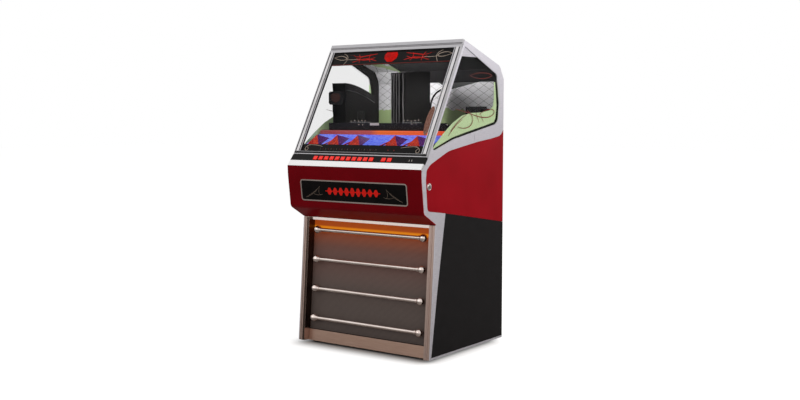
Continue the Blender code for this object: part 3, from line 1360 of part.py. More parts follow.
def make_door():
    """Glass door that swings up from the hinge under the header rail."""
    foot, head = SILHOUETTE[GLASS_FOOT], SILHOUETTE[GLASS_HEAD]
    face = leaning_face(foot, head)
    length = (head - foot).length
    hinge = face(0.0, length - HINGE_DROP, -HINGE_SETBACK)
    pivot = add_empty("door_hinge", hinge)
    low = DOOR_FOOT_GAP
    top = length - HINGE_DROP - HINGE_NECK_LENGTH
    rail_low = top - DOOR_TOP_RAIL_WIDTH
    bead = []
    gap_angle = math.degrees(math.asin(HINGE_NECK_WIDTH / 2 / HINGE_BEAD_RADIUS))
    for step in range(HINGE_STEPS + 1):
        angle = math.radians(gap_angle + (360.0 - 2 * gap_angle) * step / HINGE_STEPS)
        bead.append((length - HINGE_DROP - HINGE_BEAD_RADIUS * math.cos(angle),
                     -HINGE_SETBACK + HINGE_BEAD_RADIUS * math.sin(angle)))
    top_rail = [
        (rail_low, 0.0),
        (top, 0.0),
        (top, -HINGE_SETBACK + HINGE_NECK_WIDTH / 2),
        *bead,
        (top, -HINGE_SETBACK - HINGE_NECK_WIDTH / 2),
        (top, -DOOR_THICKNESS),
        (top - DOOR_GLASS_GRIP / 2, -DOOR_THICKNESS),
        (top - DOOR_GLASS_GRIP / 2, -DOOR_LIP_THICKNESS),
        (rail_low, -DOOR_LIP_THICKNESS),
    ]
    frame = add_extrusion("door_frame", [top_rail], as_section(face), -HALF_WIDTH, HALF_WIDTH,
                          "aluminium", origin=hinge, parent=pivot)
    inner = HALF_WIDTH - DOOR_SIDE_RAIL_WIDTH
    for label, side in (("left", -1.0), ("right", 1.0)):
        section = [
            (side * inner, 0.0),
            *flutes(side * inner, side * DOOR_SIDE_RAIL_WIDTH),
            (side * HALF_WIDTH, 0.0),
            (side * HALF_WIDTH, -DOOR_THICKNESS),
            (side * (HALF_WIDTH - DOOR_GLASS_GRIP), -DOOR_THICKNESS),
            (side * (HALF_WIDTH - DOOR_GLASS_GRIP), -DOOR_LIP_THICKNESS),
            (side * inner, -DOOR_LIP_THICKNESS),
        ]
        rail = cutter("door_rail_" + label, [section], as_run(face), low, rail_low + DOOR_CORNER_LAP)
        combine(frame, rail, "UNION")
    rail_top = low + DOOR_BOTTOM_RAIL_WIDTH
    bottom_rail = [
        (low, 0.0),
        (rail_top, 0.0),
        (rail_top, -DOOR_LIP_THICKNESS),
        (low + DOOR_GLASS_GRIP / 2, -DOOR_LIP_THICKNESS),
        (low + DOOR_GLASS_GRIP / 2, -DOOR_THICKNESS),
        (low, -DOOR_THICKNESS),
    ]
    reach = inner + DOOR_CORNER_LAP
    rail = cutter("door_rail_bottom", [bottom_rail], as_section(face), -reach, reach)
    combine(frame, rail, "UNION")
    pane_low = low + DOOR_GLASS_GRIP / 2 + CLEARANCE
    pane_high = top - DOOR_GLASS_GRIP / 2 - CLEARANCE
    pane_width = 2 * (HALF_WIDTH - DOOR_GLASS_GRIP - CLEARANCE)
    pane = rectangle((0.0, (pane_low + pane_high) / 2), pane_width, pane_high - pane_low)
    pane_front = -DOOR_LIP_THICKNESS - CLEARANCE
    add_extrusion("door_glass", [pane], face, pane_front - DOOR_GLASS_THICKNESS, pane_front, "glass",
                  origin=hinge, parent=pivot)


def make_lock():
    """Key barrel in the right side, with the cam that holds the front from inside."""
    centre = lock_centre()
    barrel = bmesh.new()
    inner_end = HALF_WIDTH - LOCK_LENGTH
    profile = [
        (inner_end, 0.0),
        (inner_end, LOCK_BARREL_RADIUS),
        (HALF_WIDTH + CLEARANCE, LOCK_BARREL_RADIUS),
        (HALF_WIDTH + CLEARANCE, LOCK_FLANGE_RADIUS),
        (HALF_WIDTH + LOCK_FLANGE_THICKNESS - CLEARANCE, LOCK_FLANGE_RADIUS),
        (HALF_WIDTH + LOCK_FLANGE_THICKNESS, LOCK_FLANGE_RADIUS - LOCK_FLANGE_THICKNESS),
        (HALF_WIDTH + LOCK_FLANGE_THICKNESS, 0.0),
    ]
    place = along_x(centre.x, centre.y)
    turn(barrel, profile, place, ROUND_SIDES)
    origin = Vector((HALF_WIDTH, centre.x, centre.y))
    model = add_object("lock_barrel", barrel, "chrome", origin=origin, smooth=True)
    slot = rectangle((0.0, 0.0), LOCK_KEYWAY_WIDTH, LOCK_KEYWAY_LENGTH)
    keyway = cutter("keyway", [slot], place, HALF_WIDTH + LOCK_FLANGE_THICKNESS - LOCK_KEYWAY_DEPTH,
                    HALF_WIDTH + OVERRUN)
    combine(model, keyway, "DIFFERENCE")
    blade = rectangle((0.0, LOCK_CAM_LENGTH / 2 - LOCK_CAM_WIDTH / 2), LOCK_CAM_WIDTH, LOCK_CAM_LENGTH)
    cam = cutter("lock_cam", [blade], place, inner_end - LOCK_CAM_THICKNESS, inner_end + LOCK_CAM_THICKNESS)
    combine(model, cam, "UNION")


def build():
    """Clears the scene and makes every piece."""
    for item in list(bpy.data.objects):
        bpy.data.objects.remove(item, do_unlink=True)
    make_side_boards()
    make_side_trims()
    make_side_skins()
    make_windows()
    make_roof()
    make_back()
    make_base()
    make_front_panel()
    make_plaque()
    make_controls()
    make_lower_front()
    make_speakers()
    make_amplifier()
    make_title_display()
    make_deck()
    make_racks()
    make_drive()
    make_player()
    make_header_rail()
    make_door()
    make_lock()


build()
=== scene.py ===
"""Looks of the record jukebox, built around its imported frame.

Metres, +Z up, front towards -Y, the viewer's right towards +X.
"""

import math

import bpy
from mathutils import Matrix, Vector


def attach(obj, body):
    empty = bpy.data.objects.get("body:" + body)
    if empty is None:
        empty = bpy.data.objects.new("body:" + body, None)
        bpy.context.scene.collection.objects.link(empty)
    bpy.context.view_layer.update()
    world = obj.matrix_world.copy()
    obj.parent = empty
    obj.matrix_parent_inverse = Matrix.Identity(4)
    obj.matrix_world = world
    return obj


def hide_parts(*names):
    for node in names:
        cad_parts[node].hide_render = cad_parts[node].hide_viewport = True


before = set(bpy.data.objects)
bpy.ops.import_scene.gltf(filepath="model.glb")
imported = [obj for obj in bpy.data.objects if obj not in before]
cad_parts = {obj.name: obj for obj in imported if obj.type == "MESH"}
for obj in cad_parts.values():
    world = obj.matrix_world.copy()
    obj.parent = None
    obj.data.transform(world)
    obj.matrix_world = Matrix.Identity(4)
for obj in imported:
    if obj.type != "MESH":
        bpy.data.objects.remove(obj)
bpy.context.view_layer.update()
bpy.ops.object.select_all(action="DESELECT")

# Leaning faces of the cabinet, each as its foot and head (y, z)
GLASS_FOOT = (-0.31601, 0.94607)
GLASS_HEAD = (-0.01397, 1.49300)
STRIP_FOOT = (-0.36000, 0.89201)
FRONT_FOOT = (-0.33862, 0.68793)
FRONT_HEAD = (-0.35791, 0.84699)
LOWER_FOOT = (-0.28750, 0.01200)
LOWER_HEAD = (-0.24070, 0.63298)
TITLE_FOOT = (-0.27928, 0.97948)
TITLE_HEAD = (-0.14150, 1.04150)

# The door's glass: half its width, and its front behind the face of the frame
GLASS_HALF = 0.364
GLASS_FRONT = -0.0074
PRINT_THICKNESS = 0.00025
STROKE_THICKNESS = 0.0003
STROKE_LIFT = 0.0003
MM = 0.001

# Places and sizes that the printed and lit patterns and the painted glow follow
PLAYER_X = -0.120
PLAYER_Y = 0.250
PLAYER_Z = 1.195
GROOVE_PITCH = 0.0016
LATTICE_WIDTH = 0.064
LATTICE_HEIGHT = 0.039
LATTICE_LINE = 0.0014
BORDER_SWING = 0.014
BORDER_TOP = 1.162
CREST_MIDDLE = 1.320
CREST_FALL = 0.28
CREST_HALF_THIN = 0.007
CREST_HALF_THICK = 0.021
CREST_END = -0.130
# Corner and slopes of the V-shaped line above which the back board is black
DARK_V_X = 0.076
DARK_V_Z = 1.267
DARK_V_RISE_RIGHT = 0.209
DARK_V_RISE_LEFT = 0.63
KICK_TOP = 0.0685
LIGHT_BAR_HALF = 0.37
LIGHT_BEAD_SIZE = 0.012
LIGHT_BEADS_START = 0.10
# Drawn four times as coarse as the real holes, which the picture couldn't show
HOLE_PITCH = 0.0110
GRILLE_FOOT_Z = 0.05
GRILLE_HEAD_Z = 0.63
# Height of the brightest painted glow on the grille
PAINTED_GLOW_LINE_Z = 0.5800
# Between these two values lies nearly all of a noise
NOISE_LOW = 0.30
NOISE_HIGH = 0.70
# How a noise is stretched into the lines of a brushed or drawn metal
EVEN = (1.0, 1.0, 1.0)
ACROSS = (0.03, 1.0, 1.0)
UPWARDS = (1.0, 1.0, 0.03)
WORN_UPWARDS = (1.0, 1.0, 0.05)
BACKWARDS = (1.0, 0.05, 1.0)
BROAD = (0.1, 0.1, 0.1)


# Colours and materials


def linear(code):
    """An sRGB hex colour as linear red, green, blue and alpha."""
    shares = [int(code[i:i + 2], 16) / 255 for i in (1, 3, 5)]
    return tuple(s / 12.92 if s <= 0.04045 else ((s + 0.055) / 1.055) ** 2.4 for s in shares) + (1.0,)


def add_node(tree, kind, settings=None, stops=None, **inputs):
    """Adds a shader node with its settings; an input takes a value or another node's socket."""
    made = tree.nodes.new("ShaderNode" + kind)
    for name, value in (settings or {}).items():
        setattr(made, name, value)
    for name, value in inputs.items():
        key = int(name[1:]) if name[1:].isdigit() else name.replace("_", " ")
        if isinstance(value, bpy.types.NodeSocket):
            tree.links.new(value, made.inputs[key])
        else:
            made.inputs[key].default_value = value
    if stops:
        elements = made.color_ramp.elements
        while len(elements) < len(stops):
            elements.new(0.5)
        for element, (position, colour) in zip(elements, stops):
            element.position = position
            element.color = linear(colour)
    return made


class Finish:
    """A Principled material while its nodes are put together."""

    def __init__(self, name, colour, roughness, metallic=0.0, **sockets):
        """Starts the material with its constants on the shader's own sockets."""
        self.material = bpy.data.materials.new(name)
        self.material.use_nodes = True
        self.tree = self.material.node_tree
        self.shader = self.tree.nodes["Principled BSDF"]
        sockets.update(Base_Color=linear(colour), Roughness=roughness, Metallic=metallic)
        for socket, value in sockets.items():
            self.shader.inputs[socket.replace("_", " ")].default_value = value
        self.place = self.add("TexCoord").outputs["Object"]

    def add(self, kind, settings=None, stops=None, **inputs):
        """A new node of this material."""
        return add_node(self.tree, kind, settings, stops, **inputs)

    def feed(self, socket, name):
        """Leads a socket to an input of the shader."""
        self.tree.links.new(socket, self.shader.inputs[name])

    def glow(self, colour, strength):
        """Lets the surface shine in a colour."""
        self.feed(colour, "Emission Color")
        self.shader.inputs["Emission Strength"].default_value = strength

    def compute(self, operation, *terms):
        """The result of an operation on numbers and sockets."""
        inputs = {"i%d" % i: term for i, term in enumerate(terms)}
        return self.add("Math", {"operation": operation}, **inputs).outputs[0]

    def mix(self, share, first, second, blend="MIX"):
        """Two colours, mixed by the share of the second."""
        settings = {"data_type": "RGBA", "blend_type": blend}
        return self.add("Mix", settings, Factor=share, i6=first, i7=second).outputs["Result"]

    def ramp(self, value, *stops):
        """The colour at a value between stops."""
        return self.add("ValToRGB", stops=stops, Fac=value).outputs["Color"]

    def remap(self, value, low, high, new_low, new_high):
        """A value carried over from one range to another."""
        node = self.add("MapRange", Value=value, From_Min=low, From_Max=high, To_Min=new_low, To_Max=new_high)
        return node.outputs[0]

    def axes(self, vector):
        """The parts of a vector, to be taken by their letters."""
        return self.add("SeparateXYZ", Vector=vector).outputs

    def facing(self):
        """The parts of the direction in which the surface faces."""
        return self.axes(self.add("NewGeometry").outputs["Normal"])

    def noise(self, size_mm, detail=2.0, stretch=EVEN):
        """Soft random patches of about a size, stretched along the axes."""
        scaled = self.add("Mapping", Vector=self.place, Scale=stretch).outputs[0]
        return self.add("TexNoise", Vector=scaled, Scale=1.0 / (size_mm * MM), Detail=detail).outputs["Fac"]

    def vary(self, field, dark, light, rough_low, rough_high):
        """Runs the colour and the roughness between two ends by a noise."""
        colour = self.ramp(field, (NOISE_LOW, dark), (NOISE_HIGH, light))
        self.feed(colour, "Base Color")
        self.feed(self.remap(field, NOISE_LOW, NOISE_HIGH, rough_low, rough_high), "Roughness")
        return colour

    def emboss(self, height, depth_mm, strength):
        """Raises the surface by a height."""
        bump = self.add("Bump", Height=height, Distance=depth_mm * MM, Strength=strength)
        self.feed(bump.outputs[0], "Normal")


def brushed_metal(name, dark, light, rough_low, rough_high, stretch, line_mm):
    """A metal whose surface was drawn over by a belt or a die, in lines along one axis."""
    finish = Finish(name, light, rough_low, 1.0)
    lines = finish.noise(line_mm, 3.0, stretch)
    finish.vary(lines, dark, light, rough_low, rough_high)
    finish.emboss(lines, 0.02, 0.15)
    return finish.material


def brushed_steel():
    """Stainless sheet, belt brushed along each part's length, with a warm tint that is a painted reflection
    of the room.
    """
    finish = Finish("brushed_stainless_steel", "#A08A80", 0.30, 1.0)
    upright = finish.noise(1.6, 2.0, UPWARDS)
    level = finish.noise(1.6, 2.0, ACROSS)
    kick = finish.compute("LESS_THAN", finish.axes(finish.place)["Z"], KICK_TOP)
    lines = finish.add("Mix", {"data_type": "FLOAT"}, Factor=kick, i2=upright, i3=level).outputs[0]
    # Pinkish tones: a painted reflection of the warm room, not the steel's own colour
    finish.feed(finish.ramp(lines, (NOISE_LOW, "#BCA399"), (NOISE_HIGH, "#C8B0A5")), "Base Color")
    finish.emboss(lines, 0.02, 0.25)
    return finish.material


def chrome_plate():
    """Chrome over polished steel: near mirror, with faint smears that break up the shine, tinted warm as a
    painted reflection of the dim room.
    """
    finish = Finish("chrome_plate", "#D9D3D1", 0.10, 1.0)
    # The warm pinkish colours are a painted reflection of the room
    finish.vary(finish.noise(22.0, 4.0, (0.4, 1.0, 1.0)), "#E2D2CA", "#F0E3DC", 0.08, 0.19)
    return finish.material


def gloss_red():
    """Deep red lacquer under a clear coat: even colour, faint orange peel and dust."""
    coat = {"Specular_IOR_Level": 0.05, "Coat_Weight": 0.03, "Coat_Roughness": 0.15}
    finish = Finish("deep_red_lacquer", "#930616", 0.34, **coat)
    finish.vary(finish.noise(180.0, 3.0), "#880512", "#960717", 0.30, 0.40)
    finish.emboss(finish.noise(5.0), 0.05, 0.08)
    return finish.material


def satin_black_laminate():
    """Black laminate with a fine leathery press pattern that greys it in the light."""
    finish = Finish("black_laminate", "#1F1D1E", 0.46, Specular_IOR_Level=0.08)
    finish.vary(finish.noise(30.0, 5.0), "#0E0C0D", "#171516", 0.42, 0.56)
    finish.emboss(finish.noise(3.0), 0.12, 0.25)
    return finish.material


def stoved_black():
    """Stoved black paint on folded steel, slightly pebbled."""
    finish = Finish("stoved_black_paint", "#1E1C1E", 0.42, Specular_IOR_Level=0.2)
    finish.vary(finish.noise(45.0, 4.0), "#191719", "#252325", 0.54, 0.68)
    finish.emboss(finish.noise(2.2), 0.06, 0.25)
    return finish.material


def moulded_black():
    """Moulded ABS of the racks, with a soft spark-eroded grain."""
    finish = Finish("moulded_black_abs", "#191718", 0.36, Specular_IOR_Level=0.25)
    finish.vary(finish.noise(25.0, 3.0), "#151314", "#211F20", 0.28, 0.44)
    finish.emboss(finish.noise(1.6), 0.04, 0.25)
    return finish.material


def black_board():
    """Plywood painted black by roller, with the stipple that leaves."""
    finish = Finish("painted_plywood", "#1B1818", 0.60, Specular_IOR_Level=0.2)
    stipple = finish.noise(6.0, 4.0)
    finish.vary(stipple, "#151313", "#221F1F", 0.52, 0.70)
    finish.emboss(stipple, 0.20, 0.30)
    return finish.material


def bare_plywood():
    """Bare birch plywood, with long grain and a darker figure, inside the cabinet."""
    finish = Finish("birch_plywood", "#A98A63", 0.65)
    grain = finish.noise(9.0, 6.0, (0.08, 1.0, 1.0))
    finish.vary(grain, "#8C6C48", "#BC9D75", 0.58, 0.74)
    finish.emboss(grain, 0.15, 0.25)
    return finish.material


def clear_sheet(name, tint):
    """Clear float glass: see-through from the front, with more shine the flatter it is seen."""
    finish = Finish(name, tint, 0.05)
    finish.vary(finish.noise(140.0, 3.0), tint, "#1C2222", 0.03, 0.08)
    slant = finish.add("LayerWeight", Blend=0.5).outputs["Facing"]
    finish.feed(finish.remap(slant, 0.50, 1.0, 0.05, 0.60), "Alpha")
    return finish.material


def printed_black():
    """Black screen ink, flat and glossy, on glass and on the control strip."""
    finish = Finish("black_screen_ink", "#0F0C0C", 0.22, Specular_IOR_Level=0.12)
    finish.vary(finish.noise(60.0, 3.0), "#0C0A0A", "#151111", 0.16, 0.28)
    return finish.material


def ink(name, colour, dark, strength=0.0):
    """Screen ink of one colour, a little thinner in patches, with a glow of a strength that is painted light
    on all prints but the display's lit numerals.
    """
    finish = Finish(name, colour, 0.42, Specular_IOR_Level=0.2)
    tint = finish.vary(finish.noise(7.0, 3.0), dark, colour, 0.36, 0.50)
    if strength:
        finish.glow(tint, strength)
    return finish.material


def seal_rubber():
    """Black extruded rubber with a dull skin."""
    finish = Finish("extruded_rubber", "#121112", 0.72, Specular_IOR_Level=0.2)
    skin = finish.noise(8.0, 3.0)
    finish.vary(skin, "#0F0E0F", "#1A1819", 0.64, 0.80)
    finish.emboss(skin, 0.05, 0.2)
    return finish.material


def red_lens():
    """Translucent red acrylic lens, brighter in patches where its lamp sits."""
    finish = Finish("red_acrylic_lens", "#CC0C06", 0.16, Specular_IOR_Level=0.08)
    finish.glow(finish.vary(finish.noise(26.0), "#B00806", "#E01006", 0.12, 0.22), 0.30)
    return finish.material


def pressed_vinyl():
    """Pressed record: black, with grooves in rings about the spindle that catch the light."""
    finish = Finish("pressed_vinyl", "#0E0D0E", 0.20)
    moved = finish.add("Mapping", Vector=finish.place, Location=(0.0, -PLAYER_Y, -PLAYER_Z)).outputs[0]
    apart = finish.axes(moved)
    flat = finish.add("CombineXYZ", X=0.0, Y=apart["Y"], Z=apart["Z"]).outputs[0]
    radius = finish.add("VectorMath", {"operation": "LENGTH"}, i0=flat).outputs["Value"]
    turns = finish.compute("MULTIPLY", radius, 2.0 * math.pi / GROOVE_PITCH)
    finish.emboss(finish.compute("SINE", turns), 0.05, 0.5)
    finish.vary(finish.noise(30.0), "#0B0A0B", "#151415", 0.14, 0.28)
    return finish.material


def filter_foam():
    """Open-cell foam: dead matt black with a pitted surface."""
    finish = Finish("open_cell_foam", "#141314", 0.95, Specular_IOR_Level=0.10)
    cells = finish.add("TexVoronoi", Vector=finish.place, Scale=1.0 / (4.0 * MM)).outputs["Distance"]
    finish.feed(finish.ramp(cells, (0.15, "#0B0A0B"), (0.60, "#1D1B1C")), "Base Color")
    finish.emboss(cells, 0.6, 0.5)
    return finish.material


def paper_cone():
    """Pressed paper pulp of a loudspeaker cone: matt, fibrous black."""
    finish = Finish("pulp_paper", "#1C1A18", 0.85, Specular_IOR_Level=0.15)
    pulp = finish.noise(3.0, 5.0)
    finish.vary(pulp, "#151312", "#282523", 0.78, 0.92)
    finish.emboss(pulp, 0.2, 0.4)
    return finish.material


def lattice_board():
    """White-faced hardboard printed with a diamond lattice and green borders, black above a V-shaped line;
    bare behind.
    """
    finish = Finish("printed_hardboard", "#CFCED3", 0.45)
    compute = finish.compute
    apart = finish.axes(finish.place)
    across, up = apart["X"], apart["Z"]
    lines = []
    for slope in (1.0, -1.0):
        wide = compute("MULTIPLY", across, 1.0 / LATTICE_WIDTH)
        part = compute("FRACT", compute("MULTIPLY_ADD", up, slope / LATTICE_HEIGHT, wide))
        off = compute("ABSOLUTE", compute("SUBTRACT", part, 0.5))
        lines.append(compute("LESS_THAN", off, LATTICE_LINE / LATTICE_WIDTH))
    board = finish.mix(compute("MAXIMUM", *lines), linear("#E4E2E6"), linear("#4C4846"))
    wobble = finish.noise(34.0)
    foot = finish.remap(wobble, NOISE_LOW, NOISE_HIGH, BORDER_TOP - BORDER_SWING, BORDER_TOP + BORDER_SWING)
    below = compute("LESS_THAN", up, foot)
    middle = compute("MULTIPLY_ADD", across, -CREST_FALL, CREST_MIDDLE)
    away = compute("ABSOLUTE", compute("SUBTRACT", up, middle))
    half = finish.remap(wobble, NOISE_LOW, NOISE_HIGH, CREST_HALF_THIN, CREST_HALF_THICK)
    crest = compute("MULTIPLY", compute("LESS_THAN", away, half), compute("LESS_THAN", across, CREST_END))
    printed = finish.mix(compute("MAXIMUM", below, crest), board, linear("#AFC48C"))
    # Black above a V-shaped line across the board
    aside = compute("SUBTRACT", across, DARK_V_X)
    right = compute("MULTIPLY", aside, DARK_V_RISE_RIGHT)
    left = compute("MULTIPLY", aside, -DARK_V_RISE_LEFT)
    edge = compute("ADD", compute("MAXIMUM", right, left), DARK_V_Z)
    front = finish.mix(compute("GREATER_THAN", up, edge), printed, linear("#1C1A1B"))
    rear = compute("GREATER_THAN", finish.facing()["Y"], 0.9)
    bare = finish.ramp(finish.noise(5.0, 4.0), (NOISE_LOW, "#171415"), (NOISE_HIGH, "#242021"))
    finish.feed(finish.mix(rear, front, bare), "Base Color")
    return finish.material


def lit_title_print():
    """Back-lit acrylic: blue ground, and blocks whose faces are coloured by where they point, orange to the
    front, violet to the right and dark to the rear, as painted light and shade.
    """
    finish = Finish("backlit_acrylic", "#4A45D8", 0.30, Specular_IOR_Level=0.15)
    facing = finish.facing()
    mottle = finish.noise(12.0, 4.0)
    ground = finish.ramp(mottle, (0.32, "#3E48D2"), (0.68, "#7E96FF"))
    ember = finish.ramp(mottle, (NOISE_LOW, "#8E1A1C"), (NOISE_HIGH, "#C83C1E"))
    violet = finish.ramp(mottle, (NOISE_LOW, "#2C1848"), (NOISE_HIGH, "#5C2668"))
    # Painted light and shade: each face's colour follows its direction, orange to the front, violet to the
    # right, near black to the rear
    lit = finish.mix(finish.compute("LESS_THAN", facing["Y"], -0.60), ground, ember)
    shaded = finish.mix(finish.compute("GREATER_THAN", facing["X"], 0.35), lit, violet)
    lift = finish.compute("SUBTRACT", facing["Z"], facing["Y"])
    printed = finish.mix(finish.compute("GREATER_THAN", lift, 0.10), linear("#0E0D12"), shaded)
    finish.feed(printed, "Base Color")
    finish.glow(printed, 0.65)
    return finish.material


def lit_orange_bar():
    """Orange acrylic lit from its right end, with a row of small bright beads."""
    finish = Finish("lit_orange_acrylic", "#D4471E", 0.30)
    across = finish.axes(finish.place)["X"]
    run = finish.remap(across, -LIGHT_BAR_HALF, LIGHT_BAR_HALF, 0.0, 1.0)
    colour = finish.ramp(run, (0.0, "#8E3A40"), (0.42, "#A9403A"), (0.50, "#E0621A"), (1.0, "#E4481A"))
    cells = finish.add("TexVoronoi", {"feature": "DISTANCE_TO_EDGE"}, Vector=finish.place,
                       Scale=1.0 / LIGHT_BEAD_SIZE, Randomness=0.0)
    bead = finish.compute("GREATER_THAN", cells.outputs["Distance"], 0.36)
    right = finish.compute("GREATER_THAN", across, LIGHT_BEADS_START)
    lit = finish.mix(finish.compute("MULTIPLY", bead, right), colour, linear("#F2A23A"))
    finish.feed(lit, "Base Color")
    finish.glow(lit, 0.70)
    return finish.material


def lit_button():
    """Red acrylic button cap lit from below, brighter in soft patches."""
    finish = Finish("lit_red_acrylic", "#D8160E", 0.25)
    finish.glow(finish.vary(finish.noise(9.0), "#C9120C", "#EE2A1A", 0.20, 0.32), 0.75)
    return finish.material


def perforated_grille():
    """Perforated steel sheet lit by a painted amber glow, standing in for the lamp under the bulge, whose
    light ends below the top bar; the warmth of its colour near the top is painted light too.
    """
    finish = Finish("perforated_steel", "#5E5350", 0.50, Specular_IOR_Level=0.15)
    apart = finish.axes(finish.place)
    rows = []
    for slope in (1.0, -1.0):
        run = finish.compute("MULTIPLY_ADD", apart["Z"], slope, apart["X"])
        rows.append(finish.compute("SINE", finish.compute("MULTIPLY", run, 2.0 * math.pi / HOLE_PITCH)))
    holes = finish.compute("MULTIPLY", *rows)
    web = finish.remap(holes, -1.0, 1.0, 0.40, 1.16)
    height = finish.remap(apart["Z"], GRILLE_FOOT_Z, GRILLE_HEAD_Z, 0.0, 1.0)
    # Painted light in the sheet's colour: it warms towards the glow line and turns dark brown above it, under
    # the glow
    sheet = finish.ramp(height, (0.0, "#7E726D"), (0.40, "#8E807A"), (0.70, "#A88279"), (0.86, "#B87258"),
                        (0.91, "#6A3018"), (1.0, "#6A3018"))
    finish.feed(finish.mix(1.0, sheet, web, "MULTIPLY"), "Base Color")
    line = (PAINTED_GLOW_LINE_Z - GRILLE_FOOT_Z) / (GRILLE_HEAD_Z - GRILLE_FOOT_Z)
    # Painted glow standing in for the hidden lamp's light, strongest at the glow line and fading below the
    # top bar
    light = finish.ramp(height, (0.0, "#000000"), (line - 0.16, "#120705"), (line - 0.06, "#5A240C"),
                        (line - 0.022, "#A84A10"), (line - 0.004, "#FF9A14"), (line + 0.004, "#F08812"),
                        (line + 0.014, "#B24C10"), (1.0, "#AA4810"))
    finish.glow(finish.mix(1.0, light, web, "MULTIPLY"), 0.85)
    finish.emboss(holes, 0.3, 0.4)
    return finish.material


FINISHES = {
    # Satin anodised sheet with fine lines along the band: a soft cool silver
    "band": brushed_metal("anodised_aluminium_band", "#CCC9D1", "#DEDBE2", 0.34, 0.46, BACKWARDS, 1.6),
    # Extruded profile with die lines along its length: duller and greyer
    "rail": brushed_metal("extruded_aluminium", "#B1AFB2", "#C3C1C4", 0.26, 0.38, ACROSS, 1.2),
    "steel": brushed_steel(),
    # Bright turned steel of small shafts, clips and clamps
    "turned": brushed_metal("turned_bright_steel", "#8F8D8D", "#BDBBBB", 0.18, 0.30, EVEN, 1.0),
    # Cast and cleaned, fine grained and pale, on the turntable and the tonearm
    "cast": brushed_metal("cast_aluminium", "#9A999B", "#BEBDBF", 0.30, 0.44, EVEN, 2.2),
    "chrome": chrome_plate(),
    "red": gloss_red(),
    "laminate": satin_black_laminate(),
    "stoved": stoved_black(),
    "moulded": moulded_black(),
    # Ribs and lip of the racks, pale as painted highlights where their ridges catch the light
    "rib": brushed_metal("black_edge_painted_highlight", "#6A6869", "#989596", 0.34, 0.50, WORN_UPWARDS, 6.0),
    "foam": filter_foam(),
    # Control strip, as flat and glossy as the printed glass above it
    "strip": printed_black(),
    # Washer of the lock, near white, a little softer than chrome
    "rose": brushed_metal("satin_chromed_washer", "#E9E7E8", "#F6F4F5", 0.24, 0.34, EVEN, 3.0),
    # Ledge under the control strip, polished and painted near white as a highlight, so that it stands out as
    # a white line
    "ledge": brushed_metal("ledge_aluminium_painted_highlight", "#F0EFEE", "#F9F8F8", 0.20, 0.30, ACROSS, 1.2),
    # Painted reflection on the stiles: deep brown and glossy where they mirror the dark recess
    "cheek": brushed_metal("polished_steel_painted_dark_reflection", "#4E4039", "#64544C", 0.16, 0.26, UPWARDS, 2.0),
    # Kick plate, brushed across and pinker than the stiles from the floor's light
    "kick": brushed_metal("brushed_kick_steel", "#C29F8D", "#D0B09E", 0.30, 0.38, ACROSS, 1.6),
    # Plate on the left rack, a shade paler than the moulding
    "rib_dark": brushed_metal("grey_moulded_edge", "#4A4849", "#5E5C5D", 0.40, 0.52, WORN_UPWARDS, 6.0),
    # Beads of the door's rails, with one long even highlight
    "bead": brushed_metal("polished_aluminium_bead", "#CDCACB", "#E0DDDE", 0.26, 0.34, BROAD, 9.0),
    "board": black_board(),
    "plywood": bare_plywood(),
    "door_glass": clear_sheet("float_glass_door", "#141A1A"),
    "window_glass": clear_sheet("float_glass_window", "#161C1E"),
    # Screen inks: each with its darker patches and some with a glow, which is painted light on every print
    # but the display's lit numerals
    "ink_black": printed_black(),
    "ink_cream": ink("cream_screen_ink", "#DCC8B6", "#BCA896", 0.18),
    "ink_red": ink("red_screen_ink", "#D01A10", "#A8140C", 0.45),
    "ink_maroon": ink("maroon_screen_ink", "#8A2A20", "#6E1F18"),
    "ink_green": ink("green_screen_ink", "#C3DAAC", "#B2CC9A", 0.14),
    "ink_copper": ink("copper_screen_ink", "#B98A78", "#74463A", 0.10),
    "ink_brown": ink("brown_screen_ink", "#57352F", "#422824"),
    "ink_white": ink("white_screen_ink", "#D8D2CC", "#C2BBB4", 0.3),
    "ink_cream_dim": ink("worn_cream_screen_ink", "#8C7B6D", "#6E5F55"),
    "lens": red_lens(),
    "seal": seal_rubber(),
    "vinyl": pressed_vinyl(),
    "cone": paper_cone(),
    "lattice": lattice_board(),
    "title": lit_title_print(),
    "orange": lit_orange_bar(),
    "button": lit_button(),
    "grille": perforated_grille(),
}

DRESSED = {
    "band": ["side_trim_left", "side_trim_right"],
    "rail": ["door_frame", "header_rail"],
    "ledge": ["ledge_trim"],
    "strip": ["control_panel"],
    "steel": ["front_surround"],
    "turned": ["record_clamp"],
    "cast": ["turntable", "tonearm"],
    "chrome": ["grille_bar_1", "grille_bar_2", "grille_bar_3", "grille_bar_4", "grille_top_trim",
               "plaque_bezel", "carriage_rail_front", "carriage_rail_rear", "lock_barrel"],
    "red": ["side_panel_left", "side_panel_right", "front_panel"],
    "laminate": ["lower_side_panel_left", "lower_side_panel_right", "roof_panel"],
    "stoved": ["service_cover", "mech_deck", "carriage", "drive_motor", "amplifier"],
    "moulded": ["rack_left", "rack_right"],
    "board": ["side_board_left", "side_board_right", "base_board"],
    "plywood": ["speaker_baffle"],
    "door_glass": ["door_glass"],
    "window_glass": ["side_window_left", "side_window_right"],
    "ink_black": ["plaque_plate"],
    "vinyl": ["played_record"],
    "cone": ["woofer_left", "woofer_right"],
    "lattice": ["back_panel"],
    "title": ["title_panel"],
    "orange": ["title_light_bar"],
    "button": ["button_%02d" % number for number in range(1, 14)],
    "grille": ["grille_panel"],
}
for finish_name, node_names in DRESSED.items():
    for node_name in node_names:
        for material_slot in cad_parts[node_name].material_slots:
            material_slot.material = FINISHES[finish_name]


# Making and placing pieces

SIDES = (("left", -1.0), ("right", 1.0))
